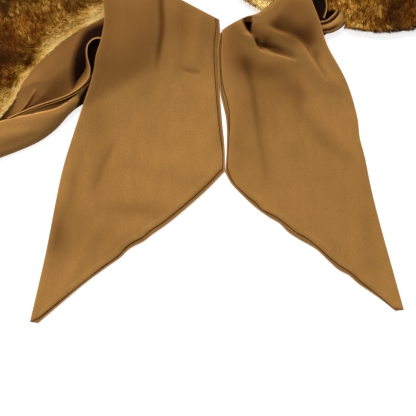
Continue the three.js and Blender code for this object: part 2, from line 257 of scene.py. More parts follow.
# %% Grids between two lines
RIM_STEPS = np.array([0, 0.12, 0.35, 0.7, 1.2, 2.0, 3.0, 4.4])  # mm of the grid's edge rows
FINE_RIM = np.array([0, 0.12, 0.35, 0.7, 1.1, 1.5, 1.9, 2.3, 2.8, 3.3, 3.9, 4.6, 5.5, 6.6])


def edge_shares(width, count, steps=RIM_STEPS):
    """Shares across a width: close together at both edges, even in the middle."""
    rim = steps * min(1.0, width / (3.5 * steps[-1]))
    middle = np.linspace(rim[-1], width - rim[-1], count + 1)[1:-1]
    return np.concatenate([rim, middle, width - rim[::-1]]) / width


def panel(first, second, across, along, keep, steps=RIM_STEPS):
    """Points (columns, rows, xy) between two lines, and each one's distance to the nearest edge.
    A row is moved to each share in keep, so that a corner of the outline stays sharp."""
    v = edge_shares(max(first.length, second.length), along)
    for share in keep:
        v[np.abs(v - share).argmin()] = share
    a, b = first(v), second(v)
    width = np.linalg.norm(b - a, axis=1)
    u = np.stack([edge_shares(w, across, steps) for w in width], 1)
    points = a[None] + (b - a)[None] * u[..., None]
    inward = np.minimum(u, 1 - u) * width[None]
    length = np.linalg.norm(np.diff(points, axis=1), axis=2).mean(0).sum()
    inward = np.minimum(inward, (np.minimum(v, 1 - v) * length)[None])
    return points, inward, u, np.broadcast_to(v, u.shape)


# %% Shells
def mesh_object(name, vertices, faces, material):
    """A smooth-shaded object from millimetre points and faces, riding on the wrap's one body."""
    mesh = bpy.data.meshes.new(name)
    mesh.from_pydata(((vertices + SHIFT) * MM).tolist(), [], faces)
    mesh.update()
    made = bpy.data.objects.new(name, mesh)
    bpy.context.scene.collection.objects.link(made)
    work = bmesh.new()
    work.from_mesh(mesh)
    bmesh.ops.recalc_face_normals(work, faces=work.faces)
    work.to_mesh(mesh)
    work.free()
    mesh.polygons.foreach_set("use_smooth", [True] * len(mesh.polygons))
    mesh.materials.append(material)
    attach(made, "root")
    return made


def shell_faces(columns, rows):
    """Faces of a closed shell over a grid: top points first, then the underside's."""
    grid = np.arange(columns * rows).reshape(columns, rows)
    under = grid + columns * rows
    quads = [np.stack([g[:-1, :-1], g[1:, :-1], g[1:, 1:], g[:-1, 1:]], -1) for g in (grid, under)]
    rim = np.concatenate([grid[:, 0], grid[-1, 1:], grid[-2::-1, -1], grid[0, -2:0:-1]])
    rim_under = rim + columns * rows
    ahead, ahead_under = np.roll(rim, -1), np.roll(rim_under, -1)
    sides = np.stack([rim, rim_under, ahead_under, ahead], -1)
    top, bottom = (found.reshape(-1, 4) for found in quads)
    return np.concatenate([top, bottom[:, ::-1], sides]).tolist()


def ridges(table, x, y):
    """Soft folds. Columns: both ends' x and y, width on the left, width on the right, height."""
    total = np.zeros(x.shape)
    for x1, y1, x2, y2, left, right, tall in table:
        length = np.hypot(x2 - x1, y2 - y1)
        along = ((x - x1) * (x2 - x1) + (y - y1) * (y2 - y1)) / length
        across = ((x2 - x1) * (y - y1) - (y2 - y1) * (x - x1)) / length
        past = np.maximum(0, np.maximum(-along, along - length))
        width = np.where(across > 0, left, right)
        total += tall * np.exp(-((across / width) ** 2) - (past / (1.4 * max(left, right))) ** 2)
    return total


def sway(x, y, seed, reach=55.0):
    """A faint uneven swell, as of cloth that was smoothed by hand: a few slow waves at odd angles."""
    rng = np.random.default_rng(seed)
    total = np.zeros(x.shape)
    for _ in range(7):
        turn, phase = rng.uniform(0, np.pi), rng.uniform(0, 2 * np.pi)
        wave = reach * rng.uniform(0.6, 1.6)
        total += np.sin((x * np.cos(turn) + y * np.sin(turn)) * 2 * np.pi / wave + phase) * wave / reach
    return total / 7


print("shell helpers ready")

# %% [markdown]
# ## Crepe
# Crepe is woven from hard-twisted yarn, so it is matte and covered in fine pebbles, and it takes
# light softly along its folds. The pebbles are smaller than a pixel of the photograph. They are
# one shader group that every crepe piece shares: it gives a mottle for the colour and a height for
# the bump. Two values are stored at each point of a shell: how much painted shade it carries, in its
# folds and in patches placed after the photograph's shades, and how much painted highlight lies on it, mostly
# along its rolled edges.

# %% Shader helpers
def add_node(tree, kind, place, **settings):
    made = tree.nodes.new(kind)
    made.location = place
    for key, value in settings.items():
        setattr(made, key, value)
    return made


def stored_value(tree, name, place):
    return add_node(tree, "ShaderNodeAttribute", place, attribute_name=name).outputs["Fac"]


def multiply_add(tree, value, factor, offset, place):
    made = add_node(tree, "ShaderNodeMath", place, operation="MULTIPLY_ADD")
    tree.links.new(value, made.inputs[0])
    made.inputs[1].default_value = factor
    made.inputs[2].default_value = offset
    return made.outputs[0]


def scale_colour(tree, colour, factor, place):
    made = add_node(tree, "ShaderNodeVectorMath", place, operation="SCALE")
    tree.links.new(colour, made.inputs[0])
    tree.links.new(factor, made.inputs["Scale"])
    return made.outputs[0]


# %% Pebble grain
def pebble_grain():
    group = bpy.data.node_groups.new("pebble_grain", "ShaderNodeTree")
    group.interface.new_socket(name="Place", in_out="INPUT", socket_type="NodeSocketVector")
    for name in ("Pebbles per metre", "Clouds per metre", "Streaks per metre", "Mottle"):
        group.interface.new_socket(name=name, in_out="INPUT", socket_type="NodeSocketFloat")
    for name in ("Tone", "Height"):
        group.interface.new_socket(name=name, in_out="OUTPUT", socket_type="NodeSocketFloat")
    source = add_node(group, "NodeGroupInput", (-700, 0))
    result = add_node(group, "NodeGroupOutput", (500, 0))
    pebbles = add_node(group, "ShaderNodeTexNoise", (-450, 120))
    pebbles.inputs["Detail"].default_value = 3.0
    pebbles.inputs["Roughness"].default_value = 0.7
    clouds = add_node(group, "ShaderNodeTexNoise", (-450, -160))
    clouds.inputs["Detail"].default_value = 2.0
    streaks = add_node(group, "ShaderNodeTexNoise", (-450, -400))
    streaks.inputs["Detail"].default_value = 2.0
    drawn_out = add_node(group, "ShaderNodeVectorMath", (-620, -400), operation="MULTIPLY")
    group.links.new(source.outputs["Place"], drawn_out.inputs[0])
    drawn_out.inputs[1].default_value = (1.0, 0.2, 1.0)
    for noise, scale, where in (
        (pebbles, "Pebbles per metre", source.outputs["Place"]),
        (clouds, "Clouds per metre", source.outputs["Place"]),
        (streaks, "Streaks per metre", drawn_out.outputs[0]),
    ):
        group.links.new(where, noise.inputs["Vector"])
        group.links.new(source.outputs[scale], noise.inputs["Scale"])
    total = pebbles.outputs["Fac"]
    for number, noise in enumerate((clouds, streaks)):
        added = add_node(group, "ShaderNodeMath", (-260 + 130 * number, 0), operation="MULTIPLY_ADD")
        group.links.new(noise.outputs["Fac"], added.inputs[0])
        added.inputs[1].default_value = 0.3
        group.links.new(total, added.inputs[2])
        total = added.outputs[0]
    centred = multiply_add(group, total, 1.0, -0.8, (0, 0))
    spread = add_node(group, "ShaderNodeMath", (120, 0), operation="MULTIPLY_ADD")
    group.links.new(centred, spread.inputs[0])
    group.links.new(source.outputs["Mottle"], spread.inputs[1])
    spread.inputs[2].default_value = 1.0
    group.links.new(spread.outputs[0], result.inputs["Tone"])
    group.links.new(pebbles.outputs["Fac"], result.inputs["Height"])
    return group


PEBBLE_GRAIN = pebble_grain()


# %% Crepe material
# Painted shade: the cloth's colour is mixed towards the half shade colour and then the full one.
HALF_SHADE_COLOUR = (0.132, 0.052, 0.0108, 1.0)  # halfway into a fold, redder than the cloth in the light
FULL_SHADE_COLOUR = (0.010, 0.003, 0.0008, 1.0)


SHADE_STEPS = ((2.0, 0.0, HALF_SHADE_COLOUR), (2.0, -1.0, FULL_SHADE_COLOUR))  # factor, offset, colour


def crepe(name, colour, mottle=0.55):
    """Matte crepe of the given colour, with painted shade in its folds and a painted highlight on its edges.
    """
    made = bpy.data.materials.new(name)
    made.use_nodes = True
    tree = made.node_tree
    shader = tree.nodes["Principled BSDF"]
    place = add_node(tree, "ShaderNodeTexCoord", (-1100, 100)).outputs["Object"]
    grain = add_node(tree, "ShaderNodeGroup", (-900, 100), node_tree=PEBBLE_GRAIN)
    tree.links.new(place, grain.inputs["Place"])
    grain.inputs["Pebbles per metre"].default_value = 620.0
    grain.inputs["Clouds per metre"].default_value = 45.0
    grain.inputs["Streaks per metre"].default_value = 190.0
    grain.inputs["Mottle"].default_value = mottle
    base = add_node(tree, "ShaderNodeRGB", (-900, 320))
    base.outputs[0].default_value = (*colour, 1.0)
    pale = multiply_add(tree, stored_value(tree, "painted_highlight", (-900, -380)), 1.2, 1.0, (-700, -380))
    toned = scale_colour(tree, base.outputs[0], grain.outputs["Tone"], (-600, 200))
    toned = scale_colour(tree, toned, pale, (-420, 200))
    depth = stored_value(tree, "painted_shade", (-900, -120))
    for number, (factor, offset, colour_there) in enumerate(SHADE_STEPS):
        part = multiply_add(tree, depth, factor, offset, (-700, -60 - 160 * number))
        fold = add_node(tree, "ShaderNodeMix", (-300 + 160 * number, 200), data_type="RGBA")
        fold.clamp_factor = True
        tree.links.new(part, fold.inputs["Factor"])
        tree.links.new(toned, fold.inputs[6])
        fold.inputs[7].default_value = colour_there
        toned = fold.outputs[2]
    tree.links.new(toned, shader.inputs["Base Color"])
    bump = add_node(tree, "ShaderNodeBump", (-300, -100))
    bump.inputs["Strength"].default_value = 0.35
    bump.inputs["Distance"].default_value = 0.0004
    tree.links.new(grain.outputs["Height"], bump.inputs["Height"])
    tree.links.new(bump.outputs["Normal"], shader.inputs["Normal"])
    shader.inputs["Roughness"].default_value = 0.88
    shader.inputs["Specular IOR Level"].default_value = 0.06
    return made


CREPE = crepe("crepe_gold_brown", (0.318, 0.155, 0.040))
# Copies of the same crepe painted darker, as painted shade, for the layers that lie under or inside folds.
CREPE_UNDER_SHADED = crepe("crepe_underlayer_shaded", (0.285, 0.137, 0.036))
CREPE_FOLDED_SHADED = crepe("crepe_folded_layers_shaded", (0.245, 0.112, 0.029))
print("crepe materials:", 3)


# %% [markdown]
# ## Shell of cloth
# Every crepe piece is a closed shell: one grid of points for the middle of the cloth, moved out along
# its normals by half the thickness both ways and joined at the rim. The thickness falls off along a
# quarter circle at the rim, so the edges are round and catch a thin line of light.

# %% Shell
CLOTH = 1.2  # one layer of crepe with the room that it takes up
ROOM = 0.4  # between two layers that touch
CLOTH_WALL = 0.9  # thickness of a shell, unless it says otherwise


def store(made, name, values):
    layer = made.data.attributes.new(name, "FLOAT", "POINT")
    layer.data.foreach_set("value", np.concatenate([values.ravel()] * 2).astype(np.float32))


def shell(name, points, inward, material, wall=CLOTH_WALL, painted_shade=None, painted_highlight=None):
    """A closed shell round a grid of middle points (columns, rows, xyz) in millimetres."""
    normal = np.cross(np.gradient(points, axis=0), np.gradient(points, axis=1))
    normal /= np.linalg.norm(normal, axis=2, keepdims=True) + 1e-12
    if normal[..., 2].mean() < 0:
        normal = -normal
    reach = np.clip(inward / (wall / 2), 0.03, 1)
    half_here = (wall / 2 * np.sqrt(1 - (1 - reach) ** 2))[..., None]
    top, under = points + normal * half_here, points - normal * half_here
    top[..., 2] = np.maximum(top[..., 2], 0.30)
    under[..., 2] = np.maximum(under[..., 2], 0.05)
    vertices = np.concatenate([top.reshape(-1, 3), under.reshape(-1, 3)])
    made = mesh_object(name, vertices, shell_faces(*inward.shape), material)
    store(made, "painted_shade", np.zeros(inward.shape) if painted_shade is None else np.clip(painted_shade, 0, 1))
    # Unless given, a painted highlight runs along the shell's rim.
    rim = np.exp(-((inward / 0.9) ** 2))
    store(made, "painted_highlight", rim if painted_highlight is None else np.clip(painted_highlight, 0, 1))
    return made


def plan_area(points):
    """Area of a grid seen from above, in square metres."""
    a, b = np.diff(points, axis=0)[:, :-1], np.diff(points, axis=1)[:-1]
    return float(np.abs(a[..., 0] * b[..., 1] - a[..., 1] * b[..., 0]).sum()) * MM**2


def between_ends(share, fade):
    """One along a line and zero at its two ends, over the two shares in fade."""
    return smooth(share, 0, fade[0]) * (1 - smooth(share, 1 - fade[1], 1))


def lip(rows, x, y, depth, soft, reach, crest=0.0, fade=(0.12, 0.25)):
    """The edge of a fold: level on the right of the line, and a drop on its left that fills again."""
    gap, share = nearest(rows, x, y)
    ends = between_ends(share, fade)
    beyond = np.maximum(gap - soft, 0)
    drop = depth * smooth(gap, 0, soft) * np.exp(-((beyond / reach) ** 1.5))
    ridge = crest * np.exp(-((np.minimum(gap, 0) / (2.2 * soft + 3)) ** 2)) * (1 - smooth(gap, 0, soft))
    return ends * (ridge - drop)


def groove(rows, x, y, depth, left, right, fade=(0.15, 0.3)):
    """A soft trough along a line, or a ridge if the depth is negative, fading at both ends."""
    gap, share = nearest(rows, x, y)
    ends = between_ends(share, fade)
    return -depth * np.exp(-((gap / np.where(gap > 0, left, right)) ** 2)) * ends


def shades(table, x, y):
    """Painted shade: how dark the cloth is painted at a point. Columns: x, y, reach in x, reach in y, depth.
    """
    total = np.zeros(x.shape)
    for px, py, wide, tall, depth in table:
        total += depth * np.exp(-(((x - px) / wide) ** 2) - ((y - py) / tall) ** 2)
    return total


def near_line(rows, x, y, width=0.8):
    """Near one at the line and zero a little away from it."""
    gap, share = nearest(rows, x, y)
    return np.exp(-((gap / width) ** 2)) * smooth(share, 0, 0.05) * (1 - smooth(share, 0.9, 1))


# %% [markdown]
# ## Left tie
# A tie is a strip of crepe, folded lengthwise and sewn to a tube with one slanted end, so a front and a
# back layer lie on each other. The side near the middle and the slanted hem show both layers: the
# front's rolled edge, a dark groove and the back's own rim, which stands out three millimetres. The
# layers could be draped by simulation, but their creases are known, so they are listed.

# %% Left tie outlines
LEFT_TIE_SIDE = [(-115.5, 273), (-115, 229), (-113.2, 209), (-117.3, 184), (-122.4, 168),
                 (-125.4, 150), (-129.6, 135), (-135, 120), (-148, 81.5), (-160, 42), (-178.5, -49.5),
                 (-196, -125.5)]
LEFT_TIE_FRONT = [(8, 208.5), (8.5, 199), (6.3, 178), (7.6, 137.5), (12.5, 82.5), (16, 57), (15.5, 43.5)]
LEFT_TIE_HEM = [(15.5, 43.5), (-5.5, 22), (-47, -13.5), (-65, -25.7), (-72, -32), (-83, -37.6), (-91, -43.8),
                (-97.5, -51), (-105.5, -57.6), (-114.5, -63.4), (-131, -76.5), (-186, -120.5)]
LEFT_TIE_BACK = [(12.4, 207), (13, 192.5), (12.2, 174), (12.0, 150), (12.8, 127), (15.3, 95.5), (18, 67),
                 (18.5, 40.5)]
LEFT_TIE_BACK_HEM = [(18.5, 40.5), (-3.5, 18), (-43.5, -16.5), (-62, -29.6), (-70, -36), (-86.5, -44.8),
                     (-96, -54), (-108, -62.6), (-120.5, -71.5), (-134.5, -82), (-187, -126.5)]
CORNER = 0.5  # share of a tie's length at which its slanted end begins

# %% Left tie heights
# Columns: y, height of the cloth's underside there, at the tie's outer side and its inner side.
LEFT_RISE_SIDE = [(70, 0), (125, 9), (155, 19), (190, 24), (225, 23), (273, 18.5)]
LEFT_RISE_INNER = [(100, 0), (205, 6)]
# Columns: both ends' x and y, width on the left and on the right of that direction, height.
LEFT_FOLDS = [
    (-66, 240, -70, 150, 9, 16, 2.2),
    (-34, 232, -36, 160, 9, 7, 1.6),
    (-10, 205, -14, 165, 6, 6, 1.0),
    (-100, 66, -134, 2, 16, 12, 1.2),
    (-70, 48, -12, 40, 18, 14, 1.2),
    (-142, 66, -170, -34, 6, 8, 1.8),
    (-84, 30, -64, -22, 16, 9, -1.4),
    (-128, 118, -72, 152, 15, 10, -0.8),
    (-30, 120, -22, 40, 15, 9, 0.9),
    (-120, -20, -160, -92, 9, 7, 1.0),
    (-60, -8, -110, -46, 7, 11, 0.8),
]
MIDDLE_CREASE = [(-51, 245), (-50.8, 229), (-49.8, 196), (-53, 173), (-55.6, 142)]
SHORT_CREASE = [(-32, 152), (-24, 149.8), (-15, 148.2), (-5, 147.2)]
LOWER_CREASE = [(-97, 84), (-104.5, 67.5), (-114, 48), (-122, 29), (-130, 6)]
# Painted shade on the left tie. Columns: x, y, reach in x, reach in y, depth.
LEFT_SHADES = [
    (-80, 215, 46, 34, 0.20),
    (-66, 182, 24, 22, 0.12),
    (-30, 200, 18, 20, 0.10),
    (2, 190, 9, 22, 0.14),
    (-112, 205, 12, 40, 0.12),
    (-122, 100, 14, 20, 0.16),
    (-140, -14, 30, 24, 0.09),
    (-10, 204, 26, 30, 0.06),
    (-165, -30, 12, 30, 0.26),
    (-148, 30, 8, 34, 0.12),
    (-120, -38, 40, 16, 0.12),
    (-78, -1, 34, 9, 0.18),
    (-120, 48, 16, 30, 0.10),
    (10, 78, 7, 16, 0.10),
]


def left_lift(x, y):
    base = mix(slope_through(LEFT_RISE_SIDE, y), slope_through(LEFT_RISE_INNER, y), smooth(x, -115.5, 8))
    swell = 0.35 * sway(x, y, seed=3) * smooth(y, -130, -90)
    crease = groove(MIDDLE_CREASE, x, y, 1.6, 3.2, 2.4, fade=(0.02, 0.3))
    crease += groove(SHORT_CREASE, x, y, 0.7, 3.5, 1.5, fade=(0.3, 0.3))
    return np.maximum(0, base + ridges(LEFT_FOLDS, x, y) + crease + swell + 0.2)


# Painted shade on the left tie: its creases, a band above the diagonal fold, its upper part and listed
# patches.
def left_painted_shade(x, y):
    crease = -groove(MIDDLE_CREASE, x, y, 0.30, 3.0, 4.2, fade=(0.02, 0.35))
    crease -= groove(SHORT_CREASE, x, y, 0.22, 5.0, 0.9, fade=(0.3, 0.35))
    crease -= groove(LOWER_CREASE, x, y, 0.18, 2.6, 9.0, fade=(0.3, 0.3))
    shade_above_fold = smooth(y - 0.54 * (x + 115), 112, 132)
    shade_above_fold = shade_above_fold * (1 - smooth(y, 150, 205)) * (1 - smooth(x, -78, -50))
    return np.clip(shades(LEFT_SHADES, x, y) + 0.24 * shade_above_fold + 0.11 * smooth(y, 132, 162) + crease, 0, 1)


# A painted highlight along the tie's rolled side.
def left_painted_highlight(x, y):
    return near_line(LEFT_TIE_SIDE, x, y, 0.9) * smooth(y, 70, 110)


def hem_wave(x, y):
    """Small puckers along a sewn hem."""
    return 0.22 * sway(x, y, seed=8, reach=16)


# %% Two layers of a tie
def front_layer(name, first, second, lift, across, along, keep, painted_shade=None, painted_highlight=None):
    points, inward, _, _ = panel(first, second, across, along, keep)
    x, y = points[..., 0], points[..., 1]
    sewn = (1 - smooth(inward, 7, 9.5)) * 0.3 + hem_wave(x, y) * (1 - smooth(inward, 4, 14))
    rolled = 0.8 * (1 - smooth(inward, 0, 2.6))
    z = lift(x, y) + CLOTH + ROOM + CLOTH / 2 + sewn - rolled
    dark = None if painted_shade is None else painted_shade(x, y)
    # A painted highlight along the rim, besides the given painted shade and painted highlight.
    edge_highlight = 0.28 * np.exp(-((inward / 0.9) ** 2))
    if painted_highlight is not None:
        edge_highlight = np.maximum(edge_highlight, painted_highlight(x, y))
    made = shell(name, np.dstack([points, z]), inward, CREPE, painted_shade=dark, painted_highlight=edge_highlight)
    return made, plan_area(points)


def lowest_near(lift, x, y, reach=2.5):
    """The lowest lift round a point, so that an under layer stays clear of the steep folds above it."""
    steps = (-reach, 0, reach)
    return np.minimum.reduce([lift(x + dx, y + dy) for dx in steps for dy in steps])


def back_layer(name, first, second, lift, across, along, keep, painted_shade, rim_side, front_edge):
    """The layer below: its rim stands up a little outside the front's edge, with a groove between."""
    points, inward, u, _ = panel(first, second, across, along, keep, FINE_RIM)
    x, y = points[..., 0], points[..., 1]
    from_rim = (1 - u if rim_side == "second" else u) * np.linalg.norm(
        points[-1] - points[0], axis=-1)[None]
    edge = front_edge(np.linspace(0, 1, 200))
    from_front = distance_to(np.vstack([edge, edge[::-1]]), x, y)
    standing = smooth(from_rim, 0, 0.8) * (1 - smooth(from_rim, 1.4, 2.4))
    rise = mix(lift(x, y), lowest_near(lift, x, y), smooth(from_rim, 3, 9))
    z = rise + CLOTH / 2 + 1.0 * standing + 0.3 * hem_wave(x, y)
    # A painted highlight on the standing rim; painted shade in the groove at the front's edge and behind the
    # rim.
    edge_highlight = 0.22 * np.exp(-(((from_rim - 0.9) / 0.7) ** 2))
    shade_at_front_edge = 0.93 * np.exp(-((from_front / 0.95) ** 2))
    shade_behind_rim = 0.62 * np.exp(-(((from_rim - 2.1) / 0.5) ** 2))
    dark = np.maximum(np.maximum(shade_at_front_edge, shade_behind_rim), painted_shade(x, y))
    made = shell(name, np.dstack([points, z]), inward, CREPE_UNDER_SHADED, painted_shade=dark, painted_highlight=edge_highlight)
    return made, plan_area(points)


# %% Left tie
left_side = smooth_line(LEFT_TIE_SIDE)
left_front_edge = chain((smooth_line(LEFT_TIE_FRONT), CORNER), (smooth_line(LEFT_TIE_HEM), 1))
left_back_edge = chain((smooth_line(LEFT_TIE_BACK), CORNER), (smooth_line(LEFT_TIE_BACK_HEM), 1))


def inset(line, shift):
    """The same line moved by a small step, so that an under layer stays behind the one above."""

    def at(share):
        return line(share) + np.array(shift)

    at.length = line.length
    return at


left_front, left_front_area = front_layer(
    "left_tie_front", left_side, left_front_edge, left_lift, 70, 160, [CORNER],
    painted_shade=left_painted_shade, painted_highlight=left_painted_highlight)
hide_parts("tie_left_front")
left_back, left_back_area = back_layer(
    "left_tie_back", inset(left_side, (0.7, 0.2)), left_back_edge, left_lift, 40, 110, [CORNER],
    left_painted_shade, "second", left_front_edge)
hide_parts("tie_left_back")
print("left tie:", round(left_front_area, 4), round(left_back_area, 4), "square metres")

# %% [markdown]
# ## Right tie
# The right tie is gathered where it leaves the collar: a left lobe and an upper lobe meet in a dark
# pocket, a second fold runs down to the right, and long soft creases fan out from there. Each fold edge
# is a lip: the cloth is level on one side, drops steeply on the other and fills again.

# %% Right tie outlines
RIGHT_TIE_SIDE = [(107, 250), (113, 229), (122, 205.5), (130, 180.5), (152, 139.5), (164, 101),
                  (167, 77), (172.5, 56), (178.5, 26), (187.5, -11), (202.5, -65.5), (215.5, -112)]
RIGHT_TIE_TOP = [(87, 252), (74.5, 229), (54, 213), (42.5, 210), (20.5, 199), (15.5, 195)]
RIGHT_TIE_FRONT = [(15.5, 195), (14.5, 163), (16.5, 137.5), (24, 105.5), (23, 70), (22, 44)]
RIGHT_TIE_HEM = [(22, 44), (28, 29), (42.5, 14), (53.5, 5.4), (59, -1), (75, -9.6), (88, -19), (98, -27.2),
                 (107.5, -32.2), (123, -44.2), (133, -53.4), (144, -62.3), (159.5, -72.6), (169, -81.2),
                 (179, -89.2), (189, -97), (203, -109.5)]
RIGHT_TIE_BACK_TOP = [(86, 253), (73.5, 229), (53, 212), (41.5, 208.5), (19, 197), (13, 191)]
RIGHT_TIE_BACK = [(13, 191), (10.2, 176), (10.6, 160), (13.5, 127), (20, 97), (20.5, 62.5), (18.8, 39.5)]
RIGHT_TIE_BACK_HEM = [(18.8, 39.5), (25, 28), (40, 12), (54.5, -1), (68, -10.5), (79, -17), (87.5, -25.8),
                      (100, -34.2), (118.5, -44.8), (132.5, -57.8), (143.5, -67.8), (154.8, -73.8),
                      (164.5, -82.4),
                      (178.5, -92), (194, -103), (206, -113)]
TOP = 0.28  # share of the right tie's length that its gathered top takes

# %% Right tie heights
RIGHT_RISE = [(116, 0), (180, 14), (215, 23), (250, 18.5)]
RIGHT_FOLDS = [
    (38, 196, 45, 188, 7, 7, 2.5),
    (84, 193, 134, 141, 6, 12, 3.4),
    (30, 160, 46, 70, 6, 10, 1.8),
    (74, 158, 90, 80, 10, 15, 3.0),
    (108, 126, 150, 66, 7, 13, 2.6),
    (22, 120, 40, 20, 6, 6, 0.8),
    (96, 60, 134, -30, 11, 16, 1.4),
    (60, 60, 92, -8, 12, 9, 1.1),
    (150, 40, 176, -50, 7, 11, 1.2),
    (120, -10, 176, -82, 9, 7, 0.9),
    (100, 232, 104, 210, 10, 12, 1.0),
    (98, 150, 104, 118, 7, 6, -1.8),
]
# Lips of the folds, each with the drop on the left of its direction.
LEFT_LOBE = [(36, 209), (38.2, 203), (41.8, 195.7), (48.2, 188), (51.2, 182.3), (54.4, 175.9), (64, 172.8),
             (78.2, 167.4), (92.3, 163), (104, 160)]
UPPER_LOBE = [(48, 189), (47.9, 195), (48.6, 202), (50, 209), (51, 213)]
SECOND_FOLD = [(62, 203), (65.6, 198.4), (70.5, 194.8), (78.2, 191.4), (88.1, 188.4), (98, 183.7), (105, 177),
               (109.5, 169.6), (115, 161), (128, 145.5)]
LONG_CREASE = [(35.9, 169), (39.4, 158.4), (42.9, 148.4), (45.6, 138), (48.4, 125), (53, 95),
               (56, 69), (61, 46), (64, 20), (67, 8)]
SIDE_CREASE = [(115.5, 175), (117.5, 168), (121, 158), (129, 145.6), (134, 139)]
SLANTED_FOLD = [(91.5, 124), (98, 112), (107, 100), (123, 80), (144, 61), (163, 42)]


def right_lift(x, y):
    share = mix(0.55, 1.0, smooth(x, 15, 60))
    base = slope_through(RIGHT_RISE, y, 12) * share + ridges(RIGHT_FOLDS, x, y)
    base = base + lip(LEFT_LOBE, x, y, 10.5, 2.2, 8, crest=1.2, fade=(0.06, 0.55))
    base = base + lip(UPPER_LOBE, x, y, 7.0, 1.8, 5, crest=1.0, fade=(0.3, 0.05))
    base = base + lip(SECOND_FOLD, x, y, 5.5, 3.5, 9, crest=0.5, fade=(0.25, 0.45))
    base = base + lip(LONG_CREASE, x, y, 2.0, 4.2, 9, crest=0.3, fade=(0.12, 0.5))
    base = base + groove(SIDE_CREASE, x, y, 2.2, 5.0, 3.0, fade=(0.3, 0.35))
    swell = 0.35 * sway(x, y, seed=5) * smooth(y, -115, -80)
    return np.maximum(0, base + swell + 0.2)


# Painted shade on the right tie. Columns: x, y, reach in x, reach in y, depth.
RIGHT_SHADES = [
    (28, 184, 16, 26, 0.32),
    (40, 118, 22, 34, 0.07),
    (40, 160, 16, 16, 0.32),
    (86, 212, 26, 22, 0.28),
    (98, 224, 16, 14, 0.20),
    (76, 203, 13, 9, 0.26),
    (97, 187, 20, 11, 0.36),
    (113, 200, 11, 24, 0.24),
    (62, 185, 10, 9, 0.48),
    (68, 151, 24, 13, 0.34),
    (90, 133, 16, 12, 0.18),
    (62, 108, 30, 30, 0.16),
    (101, 122, 9, 24, 0.14),
    (62, 48, 11, 26, 0.12),
    (34, 64, 14, 36, 0.14),
    (106, 60, 60, 70, 0.06),
    (150, 0, 60, 110, 0.05),
    (176, -20, 10, 60, 0.10),
]


def right_painted_shade(x, y):
    """Painted shade: how dark the pocket between the lobes is painted, and more faintly the hollows and
    creases.
    """
    gap, share = nearest(LEFT_LOBE, x, y)
    lobe_gap, _ = nearest(UPPER_LOBE, x, y)
    between = smooth(gap, -0.3, 1.2) * smooth(lobe_gap, -0.8, 0.8)
    between = between * smooth(y, 186, 190) * (1 - smooth(y, 203.5, 206))
    wide = mix(6.0, 11.0, smooth(share, 0.32, 0.55))
    dark = look_up([(0.24, 0), (0.34, 0.95), (0.46, 0.90), (0.60, 0.74), (0.80, 0.44), (1.0, 0)], share)
    band = dark * smooth(gap, -0.3, 1.4) * np.exp(-((np.maximum(gap - 1.4, 0) / wide) ** 2))
    pocket = np.maximum(0.98 * between, band)
    hollow, along = nearest(SECOND_FOLD, x, y)
    beside = smooth(hollow, -1, 4) * np.exp(-((hollow / 15) ** 2))
    beside = beside * smooth(along, 0.02, 0.22) * (1 - smooth(along, 0.55, 1))
    creases = -groove(LONG_CREASE, x, y, 0.17, 6.5, 3.2, fade=(0.08, 0.6))
    creases -= groove(SLANTED_FOLD, x, y, 0.12, 8.0, 8.0, fade=(0.3, 0.35))
    creases -= groove(SIDE_CREASE, x, y, 0.26, 3.2, 2.2, fade=(0.3, 0.35))
    total = shades(RIGHT_SHADES, x, y) + 0.22 * beside + creases
    return np.clip(np.maximum(total, pocket), 0, 1)


# A painted highlight along the tie's right side and the two fold lips.
def right_painted_highlight(x, y):
    side = 0.9 * near_line(RIGHT_TIE_SIDE, x, y, 0.9) * smooth(y, 135, 180)
    return side + 0.16 * near_line(SECOND_FOLD, x, y, 2.0) + 0.12 * near_line(LEFT_LOBE, x, y, 1.6)


# %% Right tie
right_side = smooth_line(RIGHT_TIE_SIDE)
right_front_edge = chain(
    (smooth_line(RIGHT_TIE_TOP), TOP), (smooth_line(RIGHT_TIE_FRONT), CORNER),
    (smooth_line(RIGHT_TIE_HEM), 1))
right_back_edge = chain(
    (smooth_line(RIGHT_TIE_BACK_TOP), TOP), (smooth_line(RIGHT_TIE_BACK), CORNER),
    (smooth_line(RIGHT_TIE_BACK_HEM), 1))
right_front, right_front_area = front_layer(
    "right_tie_front", right_front_edge, right_side, right_lift, 84, 220, [TOP, CORNER],
    painted_shade=right_painted_shade, painted_highlight=right_painted_highlight)
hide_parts("tie_right_front")
right_back, right_back_area = back_layer(
    "right_tie_back", right_back_edge, inset(right_side, (-0.7, -0.1)), right_lift, 44, 120, [TOP, CORNER],
    right_painted_shade, "first", right_front_edge)
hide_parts("tie_right_back")
print("right tie:", round(right_front_area, 4), round(right_back_area, 4), "square metres")

# %% [markdown]
# ## Left bundle
# Beside the fur the left tie's root shows: a flap sewn along the fur, a doubled pleat that stands on
# its edge and loops back under the tie, and a fat roll below it. The flap and the roll are wide shells.
# The pleat is a ribbon between two lines at different heights, so that it leans as the cloth does.

# %% Left flap
LEFT_ROOT_SEAM = [(-238, 89), (-227, 98.5), (-213, 116.5), (-203.5, 135), (-182.5, 162),
                  (-144.5, 191.5), (-114.5, 208.5), (-66, 240), (-31, 223), (2, 207)]
LEFT_ROOT_INNER = [(-235, 88), (-229, 93.5), (-187, 103), (-165.5, 108.5), (-148.5, 119.5),
                   (-134, 132), (-118, 143), (-80, 150), (-30, 165), (0, 198)]
SHORT_FOLD = [(-189, 131), (-191.5, 127.5), (-196, 119), (-203.5, 109), (-215, 99)]
SHADOW_LINE = [(-145, 121), (-148, 136), (-148.5, 150), (-147, 166), (-141.5, 180), (-133.5, 194),
               (-112, 205)]
FLAP = {"seam": 10.0, "crown": 13.0, "valley": 3.2}


